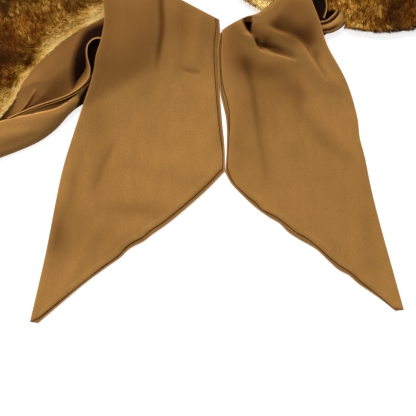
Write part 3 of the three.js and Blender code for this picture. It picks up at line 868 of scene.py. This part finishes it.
def left_flap_height(x, y, u):
    crown = mix(FLAP["seam"], FLAP["crown"], smooth(u, 0, 0.3))
    flap = mix(crown, FLAP["valley"], smooth(u, 0.4, 0.85))
    under = np.maximum(FLAP["valley"], left_lift(x, y) - 2.5 * ROOM)
    height = np.minimum(under, mix(flap, under, smooth(x, -112, -88)))
    bulge = 1.6 * np.exp(-(((x + 176) / 16) ** 2) - ((y - 148) / 15) ** 2)
    return height + bulge + lip(SHORT_FOLD, x, y, 2.6, 0.9, 12, crest=0.4, fade=(0.3, 0.05))


UNDER_FUR = (-1.1, 1.2)  # the flap's sewn edge reaches this far under the fur
points, inward, u, _ = panel(
    inset(smooth_line(LEFT_ROOT_SEAM), UNDER_FUR), smooth_line(LEFT_ROOT_INNER), 60, 150, [])
x, y = points[..., 0], points[..., 1]
z = np.maximum(left_flap_height(x, y, u) - CLOTH / 2, 0.8)
# Painted shade in the valley beside the tie, below the short fold and in listed patches, two of them painted
# lighter; a painted highlight along the rim and the short fold.
gap, _ = nearest(SHADOW_LINE, x, y)
valley = smooth(-gap, -8, 4) * smooth(y, 106, 126)
below_fold, fold_share = nearest(SHORT_FOLD, x, y)
beside_fold = smooth(below_fold, 0, 1.2) * np.exp(-np.maximum(below_fold, 0) / 16)
beside_fold = beside_fold * smooth(fold_share, 0, 0.3)
FLAP_SHADES = [
    (-160, 121, 24, 13, 0.26),
    (-150, 180, 26, 24, 0.20),
    (-170, 150, 20, 20, 0.08),
    (-206, 118, 12, 16, -0.16),
    (-192, 136, 12, 12, -0.16),
]
hollow = np.maximum(0, 0.11 + 0.02 * smooth(y, 140, 190) + shades(FLAP_SHADES, x, y))
painted_shade = np.maximum(valley, np.maximum(0.45 * beside_fold, hollow))
painted_highlight = np.maximum(0.7 * np.exp(-((inward / 0.9) ** 2)), near_line(SHORT_FOLD, x, y, 0.9))
left_root = shell("left_tie_flap", np.dstack([points, z]), inward, CREPE_FOLDED_SHADED, painted_shade=painted_shade, painted_highlight=painted_highlight)
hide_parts("tie_left_root")


# %% Ribbons on edge
def ribbon(name, top_line, top_height, lean, base_height, node, across=14, along=90, wall=1.0,
           dark=((0, 0.5),), top_highlight=0.7, edge_shade=0.12):
    """A strip standing on its edge: its foot is moved sideways from its top line by lean.
    Dark is a table of the share along the strip and how much painted shade lies at its foot there; a painted
    highlight runs along its top."""
    share = edge_shares(top_line.length, along)
    top_xy = top_line(share)
    ahead = np.gradient(top_xy, axis=0)
    ahead /= np.linalg.norm(ahead, axis=1, keepdims=True)
    left = np.stack([-ahead[:, 1], ahead[:, 0]], 1)
    foot_xy = top_xy + left * lean(share)[:, None]
    top = np.column_stack([top_xy, top_height(share, top_xy)])
    foot = np.column_stack([foot_xy, np.full(len(share), base_height)])
    tall = np.linalg.norm(top - foot, axis=1)
    up = np.stack([edge_shares(t, across) for t in tall], 1)
    points = foot[None] + (top - foot)[None] * up[..., None]
    bulge = np.sin(up * np.pi)[..., None] * np.concatenate([left, np.zeros((len(share), 1))], 1)[None]
    points = points + 0.06 * tall[None, :, None] * bulge
    inward = np.minimum(up, 1 - up) * tall[None]
    inward = np.minimum(inward, (np.minimum(share, 1 - share) * top_line.length)[None])
    from_top = (1 - up) * tall[None]
    painted_shade = edge_shade + (look_up(dark, share)[None] - edge_shade) * smooth(from_top, 1.5, 9)
    painted_highlight = top_highlight * np.exp(-((from_top / 0.8) ** 2))
    made = shell(name, points, inward, CREPE, wall=wall, painted_shade=painted_shade, painted_highlight=painted_highlight)
    if node:
        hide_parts(node)
    return made, (float(tall.mean()) * MM, float(top_line.length) * MM)


# %% Left pleat
LEFT_PLEAT = [(-220, 98), (-191, 110.5), (-153, 124), (-138, 133.5), (-130.5, 143),
              (-129, 152), (-132.5, 168), (-131, 179), (-123, 185.5), (-110, 184)]
LEFT_PLEAT_UNDER = [(-214, 98.5), (-190, 108.3), (-154, 120.8), (-140, 129), (-132, 137.5), (-127.5, 146)]


def left_pleat_height(share, xy):
    high = mix(12.0, 21.0, smooth(share, 0.3, 0.8))
    under = np.where(xy[:, 0] > -134, left_lift(xy[:, 0], xy[:, 1]) - 2 * ROOM, high)
    return np.minimum(high, under)


def left_pleat_lean(share):
    return 0.8 + 7.5 * smooth(share, 0.42, 0.58) * (1 - smooth(share, 0.62, 0.80))


def under_pleat_height(share, xy):
    under_tie = np.minimum(15.5, left_lift(xy[:, 0], xy[:, 1]) - 2)
    return np.where(xy[:, 0] > -134, under_tie, mix(11.0, 15.5, share))


left_pleat, left_pleat_cut = ribbon(
    "left_tie_pleat", smooth_line(LEFT_PLEAT), left_pleat_height, left_pleat_lean, 3.8, "tie_left_pleat",
    along=130)
left_pleat_under, left_pleat_under_cut = ribbon(
    "left_tie_pleat_under", smooth_line(LEFT_PLEAT_UNDER), under_pleat_height,
    lambda share: 0.5 + 0 * share, 3.8, None, along=70,
    dark=((0, 0.30), (0.45, 0.46), (0.7, 0.75), (0.85, 1.0)), top_highlight=0.0, edge_shade=0.3)
print("left pleat, width and length in metres:", np.round(left_pleat_cut, 4))
print("under it:", np.round(left_pleat_under_cut, 4))

# %% Left roll
ROLL_LIP = [(-258, 54), (-247, 72), (-236, 89), (-229, 94.5), (-187, 104),
            (-165.5, 109.5), (-148.5, 120.5), (-138, 130.5), (-129, 139)]
LEFT_ROLL_INNER = [(-258, 54), (-247, 72), (-236, 89), (-229, 94.8), (-211, 99.4), (-187, 109),
                   (-165.5, 116.5), (-150, 122), (-138, 130.7), (-129, 139)]
LEFT_ROLL_OUTER = [(-256, 48), (-243, 50), (-229, 55), (-187, 72.5), (-167, 87),
                   (-153, 102.5), (-145, 109.5), (-126, 121)]
ROLL_HEIGHT = 14.0
STRIP_HEIGHT = 11.0  # the cloth between the roll's lip and the pleat
ROLL_FOLDS = [
    (-262, 72, -206, 82, 6, 9, 1.6),
    (-236, 62, -190, 79, 4, 5, -1.0),
    (-210, 96, -160, 104, 4, 6, 0.8),
]
points, inward, _, v = panel(smooth_line(LEFT_ROLL_INNER), smooth_line(LEFT_ROLL_OUTER), 44, 100, [])
x, y = points[..., 0], points[..., 1]
above_lip, _ = nearest(ROLL_LIP, x, y)
to_outer, _ = nearest(LEFT_ROLL_OUTER, x, y)
below_lip = np.maximum(-above_lip, 0)
across = below_lip / (below_lip + np.abs(to_outer) + 1e-6)  # 0 at the lip, 1 at the roll's foot
bow = np.sqrt(np.maximum(0, 1 - np.clip((across - 0.25) / 0.75, -1, 1) ** 2))
crest = ROLL_HEIGHT * mix(1, 0.75, smooth(v, 0.7, 1))
z = np.maximum(0.9, crest * bow - CLOTH / 2 + ridges(ROLL_FOLDS, x, y) * np.sin(np.pi * across))
z = mix(z, np.minimum(z, STRIP_HEIGHT), smooth(above_lip, 0.1, 1.5))
z = np.where(x > -142, np.minimum(z, np.maximum(1.2, left_lift(x, y) - 2.6)), z)
# Painted shade on the strip beside the pleat and towards the roll's foot and left end; the roll's end under
# the tie is painted black as the tie's shadow, and a painted highlight runs along the lip.
ROLL_END = [(-147.5, 106), (-144.6, 112), (-140.5, 121), (-134.5, 131), (-129, 139)]
end_gap, _ = nearest(ROLL_END, x, y)
in_strip = smooth(above_lip, 0.0, 0.8) * mix(0.66, 0.94, smooth(x, -180, -148))
roll_shade = 0.06 + 0.10 * smooth(across, 0.6, 1.0) + 0.10 * smooth(x, -200, -165)
roll_painted_shade = np.maximum(np.maximum(in_strip, roll_shade), smooth(-end_gap, -1.6, 1.2))
roll_painted_highlight = 0.8 * near_line(ROLL_LIP, x, y, 1.0)
left_roll = shell(
    "left_tie_roll", np.dstack([points, z]), inward, CREPE, wall=1.1, painted_shade=roll_painted_shade, painted_highlight=roll_painted_highlight)
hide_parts("tie_left_roll")

# %% [markdown]
# ## Right loops
# Where the right tie is folded back at the collar, two bights of doubled cloth show beside it, with a
# thin pleat between them and the tie. Each bight is an arched strand; the hollows are painted nearly black as
# shade.

# %% Right root
RIGHT_ROOT_LOWER = [(58, 182), (80, 173), (105, 175), (125, 187), (139, 200)]
RIGHT_ROOT_UPPER = [(70, 222), (84, 236), (100, 243), (120, 242), (137, 236)]
points, inward, u, _ = panel(smooth_line(RIGHT_ROOT_LOWER), smooth_line(RIGHT_ROOT_UPPER), 34, 40, [])
x, y = points[..., 0], points[..., 1]
crown = mix(19.0, 8.0, smooth(x, 104, 124))
z = np.maximum(1.4, np.minimum(crown, right_lift(x, y) - 4.0) - CLOTH / 2)
# The root is painted fully in shade, so that the hollows beside the loops show black.
right_root = shell("right_tie_root", np.dstack([points, z]), inward, CREPE_FOLDED_SHADED,
                   painted_shade=np.full(u.shape, 1.0), painted_highlight=np.zeros(u.shape))
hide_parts("tie_right_root")


# %% Right strands
def strand(name, inner, outer, height, node, crease=None, along=70):
    """An arched strand of folded cloth between its inner and its outer foot."""
    length = smooth_line(outer).length
    share = edge_shares(length, along)
    a, b = smooth_line(inner)(share), smooth_line(outer)(share)
    u = np.linspace(0, 1, 27)[:, None]
    turn = (1 - np.cos(np.pi * u)) / 2
    xy = a[None] + (b - a)[None] * turn[..., None]
    arch = np.sin(np.pi * u) ** 0.55 * (1 - 0.25 * u)
    z = 0.8 + (height - 1.4) * arch * np.ones((1, len(share)))
    if crease:
        at, wide, down = crease
        trough = np.exp(-(((turn - at) / wide) ** 2)) * smooth(share, 0.35, 0.6)[None]
        z = z - down * trough
    inward = np.minimum(u, 1 - u) * 24 * np.ones((1, len(share)))
    inward = np.minimum(inward, (np.minimum(share, 1 - share) * length)[None])
    # A painted highlight near the inner foot, and painted shade at both feet and in the crease.
    edge_highlight = 0.5 * np.exp(-(((turn - 0.16) / 0.07) ** 2)) * np.ones((1, len(share)))
    dark = 0.75 * smooth(turn, 0.9, 1.0) * np.ones((1, len(share)))
    dark = np.maximum(dark, 0.9 * (1 - smooth(turn, 0.0, 0.08)))
    if crease:
        dark = np.maximum(dark, 0.85 * trough)
    made = shell(name, np.dstack([xy, z]), inward, CREPE, wall=0.8, painted_shade=dark, painted_highlight=edge_highlight)
    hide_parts(node)
    girth = np.linalg.norm(np.diff(np.dstack([xy, z]), axis=0), axis=2).sum(0).mean()
    return made, (float(girth) * MM, float(length) * MM)


LOOP_OUTER_INNER = [(143.6, 221.5), (144.4, 216), (139.3, 208.8), (131, 203.6), (123, 202), (113, 202)]
LOOP_OUTER_OUTER = [(145.6, 221.5), (149.7, 214.6), (151.9, 208), (149.7, 201.6), (141, 195), (131, 191.8),
                    (114.5, 191)]
LOOP_INNER_INNER = [(140.6, 221.5), (140.6, 217), (136.5, 211.3), (129.8, 206.3), (123, 204.8), (112, 205)]
LOOP_INNER_OUTER = [(142.8, 221.5), (142.9, 216), (137.9, 209.3), (130.2, 204.4), (123, 202.6), (112, 202.6)]
RIGHT_PLEAT = [(126, 240), (129, 229), (130.3, 222), (129.8, 216.5), (127, 208)]
right_loop_outer, loop_outer_cut = strand(
    "right_loop_outer", LOOP_OUTER_INNER, LOOP_OUTER_OUTER, 13.0, "tie_right_loop_outer",
    crease=(0.68, 0.12, 3.0))
right_loop_inner, loop_inner_cut = strand(
    "right_loop_inner", LOOP_INNER_INNER, LOOP_INNER_OUTER, 16.0, "tie_right_loop_inner")
right_pleat, right_pleat_cut = ribbon(
    "right_pleat", smooth_line(RIGHT_PLEAT), lambda share, xy: 17.5 + 0 * share,
    lambda share: -1.5 + 0 * share, 9.0, "tie_right_pleat", along=40, dark=((0, 0.9),))
print("right loops, width and length in metres:", np.round(loop_outer_cut, 4), np.round(loop_inner_cut, 4))


# %% [markdown]
# ## The pelt
# The collar is a horseshoe of pelt with short dense hair. A hair system would make every strand, but a
# reusable model needs plain meshes, so the pelt is a low padded mat and the hair is joined blades. First
# comes the outline: polar round the neck, with the two front ends blended in near the ends.

# %% Pelt outline
NECK = np.array([-20.0, 347.0])
NECK_RADIUS = 68.0
OUTER_RADIUS = [(0, 382), (0.12, 322), (0.26, 278), (0.5, 262), (0.78, 272), (0.9, 291), (1, 313)]
LEFT_END = [(-39.5, 268.5), (-88, 226.5), (-114.5, 209.5), (-144.5, 192.5), (-182.5, 163),
            (-203.5, 136), (-213, 117.5), (-227, 99.5), (-240, 81), (-260, 50)]
RIGHT_END = [(4.5, 268.5), (22, 244), (38.5, 229), (56, 218), (101, 203),
             (152, 197), (182.5, 192.5), (229, 197), (264, 215.5)]


def round_neck(points, turn):
    away = points - NECK
    return np.arctan2(away[..., 1], away[..., 0]) + turn, np.linalg.norm(away, axis=-1)


def pelt_point(u, v):
    """u runs from the left front end round the back to the right one, v from the neck outwards."""
    left_angle, left_radius = round_neck(smooth_line(LEFT_END)(v), 2 * np.pi)
    right_angle, right_radius = round_neck(smooth_line(RIGHT_END)(v), 0)
    angle = mix(left_angle, right_angle, u)
    near_left, near_right = 1 - smooth(u, 0, 0.2), smooth(u, 0.8, 1)
    plain = mix(NECK_RADIUS, look_up(OUTER_RADIUS, u), v)
    radius = left_radius * near_left + right_radius * near_right + plain * (1 - near_left - near_right)
    return NECK + np.stack([np.cos(angle), np.sin(angle)], -1) * radius[..., None]


one, zero = np.ones(60), np.zeros(60)
share_60, share_160 = np.linspace(0, 1, 60), np.linspace(0, 1, 160)
PELT_OUTLINE = np.vstack([
    pelt_point(zero, share_60), pelt_point(share_160, np.ones(160)),
    pelt_point(one, share_60[::-1]), pelt_point(share_160[::-1], np.zeros(160)),
])
print("pelt outline points:", len(PELT_OUTLINE))


# %% Inside and distance
def is_inside(outline, x, y):
    """Whether each point lies inside a closed outline, by counting the edges to its right."""
    inside = np.zeros(x.shape, bool)
    for (x1, y1), (x2, y2) in zip(outline, np.roll(outline, -1, axis=0)):
        if y1 != y2:
            crosses = (y1 > y) != (y2 > y)
            inside ^= crosses & (x < (x2 - x1) * (y - y1) / (y2 - y1) + x1)
    return inside


def outline_of(first, second, count=40):
    share = np.linspace(0, 1, count)
    return np.vstack([smooth_line(first)(share), smooth_line(second)(share[::-1])])


LEFT_COVER = outline_of(LEFT_ROOT_SEAM, LEFT_ROOT_INNER)
ROLL_COVER = outline_of(LEFT_ROLL_INNER, LEFT_ROLL_OUTER)
LOOP_COVER = np.array([(100, 200), (114, 190), (138, 192), (149, 198), (153, 206), (151, 214), (147.5, 220),
                       (141, 221), (133, 221.5), (131.8, 226), (130.5, 236), (118, 246), (104, 252)], float)
LEFT_TIE_COVER = np.vstack([left_side(share_60), left_front_edge(share_60[::-1])])
RIGHT_TIE_COVER = np.vstack([right_front_edge(share_60), right_side(share_60[::-1])])
PELT_EDGE, PELT_MIDDLE, PELT_ROUND = 2.5, 10.5, 17.0


def pelt_height(x, y, inside):
    """Top of the padded pelt: rounded at its edges and low under the cloth that covers it."""
    rounding = np.sqrt(1 - (1 - np.clip(inside / PELT_ROUND, 0, 1)) ** 2)
    seam, _ = nearest(LEFT_END, x, y)
    edge = mix(8.0, PELT_EDGE, smooth(np.abs(seam), 4, 24))
    top = mix(edge, PELT_MIDDLE, rounding) + 0.6 * sway(x, y, seed=21, reach=40)
    for cover, lift in ((LEFT_TIE_COVER, left_lift), (RIGHT_TIE_COVER, right_lift)):
        near = is_inside(cover, x, y) | (distance_to(cover, x, y) < 4)
        top = np.where(near, np.minimum(top, np.maximum(1.2, lift(x, y) - 2.0)), top)
    for cover in (ROLL_COVER, LOOP_COVER):
        gap = np.where(is_inside(cover, x, y), 0, distance_to(cover, x, y))
        top = np.minimum(top, mix(1.2, 20.0, smooth(gap, 0.2, 5.0)) + 2.0)
    return np.where(is_inside(LEFT_COVER, x, y), np.minimum(top, 1.2), top)


# %% Pelt mat
PELT_INSET = 5.0
PELT_AROUND, PELT_DEEP = 980, 205  # mm along the middle of the horseshoe and from neck to outer edge
u = np.concatenate([
    [0, 0.002, 0.005, 0.009, 0.014], np.linspace(0.02, 0.98, 220), [0.986, 0.991, 0.995, 0.998, 1]])
v = np.concatenate([
    [0, 0.01, 0.022, 0.04, 0.06], np.linspace(0.085, 0.915, 40), [0.94, 0.96, 0.978, 0.99, 1]])
U, V = np.meshgrid(u, v, indexing="ij")
SEAM_INSET = -0.8  # at the seam of the left end the pelt reaches under the flap
margin = PELT_INSET / PELT_DEEP
points = pelt_point(
    mix(SEAM_INSET / PELT_AROUND, 1 - PELT_INSET / PELT_AROUND, U), margin + V * (1 - 2 * margin))
x, y = points[..., 0], points[..., 1]
z = np.maximum(0.8, pelt_height(x, y, distance_to(PELT_OUTLINE, x, y)))
edge_of_grid = np.minimum((1 - U) * PELT_AROUND, np.minimum(V, 1 - V) * PELT_DEEP)
z = np.where(edge_of_grid < 0.5, 0.8, z)
vertices = np.concatenate([np.dstack([points, level]).reshape(-1, 3) for level in (z, 0 * z + 0.1)])


# %% [markdown]
# ## Colours of the fur
# The skins are pale gold at the front ends, then gold brown, dark brown and orange further in. Each hair
# stores a tone, from cream to nearly black, and how orange it is. The tone follows the distance from
# the front end, a short table of patches, and a little chance for each clump and each hair.

# %% Fur tones
# Columns: distance from the seam of the left end in mm, tone there.
SEAM_TONES = [(0, 0.02), (6, 0.10), (11, 0.28), (17, 0.50), (25, 0.62), (34, 0.72), (46, 0.68),
              (80, 0.68), (130, 0.62)]
# Columns: x, y, reach in x, reach in y, tone, orange.
FUR_PATCHES = [
    (-122, 216, 16, 7, 0.00, 0.0),
    (-152, 205, 15, 9, 0.30, 0.3),
    (-150, 226, 28, 10, 0.66, 0.2),
    (-194, 223, 20, 10, 0.50, 0.3),
    (-180, 190, 12, 9, 0.56, 0.5),
    (-205, 206, 16, 13, 0.68, 1.0),
    (-220, 190, 13, 9, 0.84, 0.6),
    (-220, 168, 20, 11, 1.00, 0.2),
    (-203, 158, 10, 9, 0.86, 0.3),
    (-222, 140, 13, 12, 0.72, 0.7),
    (-226, 122, 9, 7, 0.34, 0.4),
    (-224, 224, 14, 11, 0.84, -0.3),
    (58, 224, 30, 16, -0.10, 0.0),
    (44, 226, 8, 12, 0.26, 0.5),
    (148, 222, 12, 14, 0.62, 0.8),
    (160, 212, 15, 22, 0.47, 0.6),
    (184, 214, 11, 24, 0.64, 0.4),
    (207, 216, 12, 26, 1.00, 0.1),
    (226, 218, 10, 24, 0.84, 0.8),
    (250, 236, 16, 24, 0.60, 0.3),
]


def fur_tone(x, y):
    seam, _ = nearest(LEFT_END, x, y)
    other, _ = nearest(RIGHT_END, x, y)
    tone = look_up(SEAM_TONES, np.abs(seam))
    tone = np.where(x > 0, mix(0.30, 0.66, smooth(np.abs(other), 4, 26)), tone)
    orange = 0.35 + 0.3 * sway(x, y, seed=33, reach=60)
    for px, py, wide, tall, patch_tone, patch_orange in FUR_PATCHES:
        weight = np.exp(-(((x - px) / wide) ** 2) - ((y - py) / tall) ** 2)
        tone, orange = mix(tone, patch_tone, weight), mix(orange, patch_orange, weight)
    # Painted shade along the right end's lower edge, where the fur curves under.
    tone = tone + 0.12 * (1 - smooth(np.abs(other), 3, 9)) * smooth(x, 130, 150)
    return tone + 0.13 * sway(x, y, seed=31, reach=26) + 0.08 * sway(x, y, seed=32, reach=90), orange


def unit(flow):
    return flow / (np.linalg.norm(flow, axis=-1, keepdims=True) + 1e-9)


def turned(flow, turn):
    c, s = np.cos(turn), np.sin(turn)
    return np.stack([flow[..., 0] * c - flow[..., 1] * s, flow[..., 0] * s + flow[..., 1] * c], -1)


def end_direction(rows, share, step):
    """Which way a line runs at a share of its length; backwards if the step is negative."""
    line = smooth_line(rows)
    return unit(line(np.clip(share + step, 0, 1)) - line(np.clip(share - step, 0, 1)))


def hair_flow(x, y):
    """Which way the hair lies: towards the front ends and outwards, turning along the left seam."""
    away_x, away_y = x - NECK[0], y - NECK[1]
    radius = np.hypot(away_x, away_y)
    out = np.stack([away_x / radius, away_y / radius], -1)
    front = np.where(x < NECK[0], 1.0, -1.0)[..., None] * np.stack([-out[..., 1], out[..., 0]], -1)
    centre = np.exp(-((x - NECK[0]) / 30) ** 2)[..., None]
    flow = (1 - centre) * 0.85 * front + (0.30 + 0.6 * centre) * out
    seam, share = nearest(LEFT_END, x, y)
    near = (1 - smooth(np.abs(seam), 8, 30))[..., None]
    flow = mix(flow, end_direction(LEFT_END, share, -0.02) + 0.06 * flow, near)
    other, other_share = nearest(RIGHT_END, x, y)
    near_right = (1 - smooth(np.abs(other), 4, 16))[..., None]
    flow = mix(flow, end_direction(RIGHT_END, other_share, 0.02) + 0.8 * flow, near_right)
    swirl = 0.6 * sway(x, y, seed=41, reach=30) + 0.7 * sway(x, y, seed=42, reach=11)
    turn = (1 - 0.7 * near[..., 0]) * (0.25 * smooth(-x, 100, 160) + swirl)
    return unit(turned(flow, turn))


# %% Fur material
def fur_material():
    made = bpy.data.materials.new("fur_gold_and_brown")
    made.use_nodes = True
    tree = made.node_tree
    shader = tree.nodes["Principled BSDF"]
    ramps = []
    for row, stops in enumerate((
        ((0.0, (1.0, 0.78, 0.30)), (0.2, (0.88, 0.50, 0.080)), (0.45, (0.24, 0.094, 0.009)),
         (0.7, (0.085, 0.029, 0.0035)), (1.0, (0.018, 0.0055, 0.001))),
        ((0.0, (1.0, 0.76, 0.26)), (0.2, (0.86, 0.44, 0.050)), (0.45, (0.27, 0.072, 0.003)),
         (0.7, (0.125, 0.029, 0.002)), (1.0, (0.028, 0.007, 0.001))),
    )):
        ramp = add_node(tree, "ShaderNodeValToRGB", (-700, 300 - 300 * row))
        while len(ramp.color_ramp.elements) < len(stops):
            ramp.color_ramp.elements.new(0.5)
        for element, (place, colour) in zip(ramp.color_ramp.elements, stops):
            element.position = place
            element.color = (*colour, 1)
        tree.links.new(stored_value(tree, "tone", (-950, 300 - 300 * row)), ramp.inputs["Fac"])
        ramps.append(ramp)
    blend = add_node(tree, "ShaderNodeMix", (-400, 200), data_type="RGBA")
    tree.links.new(stored_value(tree, "orange", (-700, -300)), blend.inputs["Factor"])
    tree.links.new(ramps[0].outputs["Color"], blend.inputs[6])
    tree.links.new(ramps[1].outputs["Color"], blend.inputs[7])
    # Painted shade: each hair is darker towards its root.
    rise = multiply_add(tree, stored_value(tree, "along", (-700, -500)), 0.85, 0.35, (-400, -300))
    tree.links.new(scale_colour(tree, blend.outputs[2], rise, (-200, 100)), shader.inputs["Base Color"])
    shader.inputs["Roughness"].default_value = 0.7
    shader.inputs["Specular IOR Level"].default_value = 0.04
    return made


FUR = fur_material()
pelt = mesh_object("fur_pelt", vertices, shell_faces(*z.shape), FUR)
tone, orange = fur_tone(x, y)
# The mat under the hair is painted darker, as shade.
store(pelt, "tone", np.clip(tone + 0.1, 0, 1))
store(pelt, "orange", np.clip(orange, 0, 1))
store(pelt, "along", np.full(z.shape, 0.1))
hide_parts("fur_collar")

# %% [markdown]
# ## Hair
# Each hair is a narrow blade of three triangles that rises from the pelt and bends over. Hairs stand
# closest at the front ends, where the photograph shows them near; further round they are fewer and
# wider. Clumps are what make short fur read as fur, so each tip leans towards its clump's middle.

# %% Where the hairs grow
CLUMP = 2.2  # size of a clump of hair in mm
CLUMP_GRID = 320  # clumps each way before their chances repeat
CLUMP_CORNER = (-400, -100)
HAIR_REACH = 1.0  # how far inside a free edge the outermost hairs grow
rng = np.random.default_rng(12)
clump_shift = rng.uniform(-0.45, 0.45, (CLUMP_GRID, CLUMP_GRID, 2))
clump_tone = rng.normal(0, 1, (CLUMP_GRID, CLUMP_GRID))


def clump_of(x, y):
    """The middle of the clump that a root belongs to, and how dark that clump is by chance."""
    cell = [np.floor((place - start) / CLUMP) for place, start in zip((x, y), CLUMP_CORNER)]
    i, j = (number.astype(int) % CLUMP_GRID for number in cell)
    cx = (cell[0] + 0.5 + clump_shift[i, j, 0]) * CLUMP + CLUMP_CORNER[0]
    cy = (cell[1] + 0.5 + clump_shift[i, j, 1]) * CLUMP + CLUMP_CORNER[1]
    return cx, cy, clump_tone[i, j]


# How far under each piece of cloth hairs still grow, in mm.
COVER_DEPTHS = (
    (LEFT_TIE_COVER, 9), (RIGHT_TIE_COVER, 9), (LEFT_COVER, 1.0), (ROLL_COVER, 1.0), (LOOP_COVER, 0.5))


def grow(boxes, density):
    """Roots in the given boxes (x from, x to, y from, y to), as many to a square mm as density says."""
    roots = []
    for x1, x2, y1, y2 in boxes:
        count = int((x2 - x1) * (y2 - y1) * density)
        roots.append(rng.uniform((x1, y1), (x2, y2), (count, 2)))
    x, y = np.vstack(roots).T
    keep = is_inside(PELT_OUTLINE, x, y)
    x, y = x[keep], y[keep]
    seam, _ = nearest(LEFT_END, x, y)
    keep = (distance_to(PELT_OUTLINE, x, y) > HAIR_REACH) | ((np.abs(seam) < 20) & (np.abs(seam) > 0.3))
    x, y = x[keep], y[keep]
    for cover, depth in COVER_DEPTHS:
        hidden = is_inside(cover, x, y)
        hidden[hidden] = distance_to(cover, x[hidden], y[hidden]) > depth
        x, y = x[~hidden], y[~hidden]
    return x, y


NEAR_BOXES = [(-236, -100, 84, 236), (98, 244, 186, 236), (28, 98, 200, 236)]
near_x, near_y = grow(NEAR_BOXES, 4.4)
far_x, far_y = grow([(-345, 345, 40, 620)], 0.62)
far = np.ones(far_x.shape, bool)
for x1, x2, y1, y2 in NEAR_BOXES:
    far &= ~((far_x > x1) & (far_x < x2) & (far_y > y1) & (far_y < y2))
far_x, far_y = far_x[far], far_y[far]
print("hairs near and far:", len(near_x), len(far_x))


# %% Blades
def hair(name, x, y, long, wide):
    """Joined blades: two points at the root, two halfway and one at the tip."""
    count = len(x)
    inside = distance_to(PELT_OUTLINE, x, y)
    seam, _ = nearest(LEFT_END, x, y)
    at_seam = 1 - smooth(np.abs(seam), 2, 10)
    flow = hair_flow(x, y)
    cx, cy, clump = clump_of(x, y)
    turn = rng.normal(0, 0.22, count) * (1 - 0.5 * at_seam)
    flow = turned(flow, turn)
    length = long * rng.uniform(0.75, 1.15, count)
    length *= mix(0.50, 1.0, np.maximum(smooth(inside, 2, 12), 0.8 * at_seam))
    steep = np.radians(rng.uniform(24, 52, count)) * (1 - 0.5 * at_seam)
    base = pelt_height(x, y, inside) - 0.4
    root = np.column_stack([x, y, np.maximum(base, 0.4)])
    pull = np.stack([cx - x, cy - y], -1) * (1 - 0.85 * at_seam)[:, None]
    middle_xy = root[:, :2] + flow * (0.42 * length * np.cos(steep))[:, None] + 0.25 * pull
    middle = np.column_stack([middle_xy, root[:, 2] + 0.55 * length * np.sin(steep)])
    tip_xy = root[:, :2] + flow * (0.95 * length * np.cos(steep * 0.7))[:, None] + 0.5 * pull
    tip = np.column_stack([tip_xy, root[:, 2] + length * np.sin(steep) * rng.uniform(0.6, 0.95, count)])
    side = np.column_stack([-flow[:, 1], flow[:, 0], rng.normal(0, 0.35, count)])
    side /= np.linalg.norm(side, axis=1, keepdims=True)
    thick = (wide * rng.uniform(0.7, 1.3, count))[:, None] / 2
    half, waist = side * thick, side * thick * 0.75
    blades = np.stack([root - half, root + half, middle - waist, middle + waist, tip], 1)
    blades[..., 2] = np.maximum(blades[..., 2], 0.25)
    start = np.arange(count)[:, None] * 5
    faces = np.concatenate([start + [0, 1, 3], start + [0, 3, 2], start + [2, 3, 4]], 1).reshape(-1, 3)
    mesh = bpy.data.meshes.new(name)
    mesh.vertices.add(count * 5)
    mesh.vertices.foreach_set("co", ((blades.reshape(-1, 3) + SHIFT) * MM).ravel())
    mesh.loops.add(len(faces) * 3)
    mesh.loops.foreach_set("vertex_index", faces.ravel().astype(np.int32))
    mesh.polygons.add(len(faces))
    mesh.polygons.foreach_set("loop_start", np.arange(0, len(faces) * 3, 3, dtype=np.int32))
    mesh.update(calc_edges=True)
    mesh.polygons.foreach_set("use_smooth", [True] * len(faces))
    tone, orange = fur_tone(x, y)
    tone = np.clip(tone + 0.12 * clump * (1 - 0.6 * at_seam) + rng.normal(0, 0.115, count), 0, 1)
    values = {
        "tone": np.repeat(tone, 5) - 0.10 * np.tile([0, 0, 0.3, 0.3, 1.0], count),
        "orange": np.repeat(np.clip(orange + rng.normal(0, 0.15, count), 0, 1), 5),
        "along": np.tile([0.0, 0.0, 0.6, 0.6, 1.0], count),
    }
    for key, value in values.items():
        mesh.attributes.new(key, "FLOAT", "POINT").data.foreach_set("value", value.astype(np.float32))
    cells = int(np.ceil(np.sqrt(count)))
    corner = np.array([(0.1, 0.08), (0.9, 0.08), (0.15, 0.5), (0.85, 0.5), (0.5, 0.94)])
    cell = np.stack([np.arange(count) % cells, np.arange(count) // cells], -1)
    places = (cell[:, None] + corner[None]).reshape(-1, 2) / cells
    mesh.uv_layers.new(name="OFBake").data.foreach_set("uv", places[faces.ravel()].astype(np.float32).ravel())
    mesh.materials.append(FUR)
    made = bpy.data.objects.new(name, mesh)
    bpy.context.scene.collection.objects.link(made)
    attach(made, "root")
    print(name, count, "hairs")
    return made


# %% Hair pieces
hair_pieces = [hair("fur_hair_front", near_x, near_y, 9.0, 0.5)]
turn_of_root = np.arctan2(far_y - NECK[1], far_x - NECK[0])
turn_of_root = np.where(turn_of_root < -np.pi / 2, turn_of_root + 2 * np.pi, turn_of_root)
third = np.digitize(turn_of_root, [np.pi * 0.33, np.pi * 0.83])
for number, name in enumerate(("fur_hair_right", "fur_hair_back", "fur_hair_left")):
    here = third == number
    hair_pieces.append(hair(name, far_x[here], far_y[here], 12.5, 1.25))

# %% [markdown]
# ## Sizes and triangles
# The ties' shown areas and the strips' widths and lengths are printed where each piece is made; this
# cell counts the triangles shown. The ties are strips about 140 mm wide when finished; the folded layers
# beside the fur belong to the same strips.

# %% Triangles shown
triangles = sum(
    sum(len(p.vertices) - 2 for p in o.data.polygons) for o in bpy.data.objects
    if o.type == "MESH" and not o.hide_render and o is not table)
print("triangles shown:", triangles)
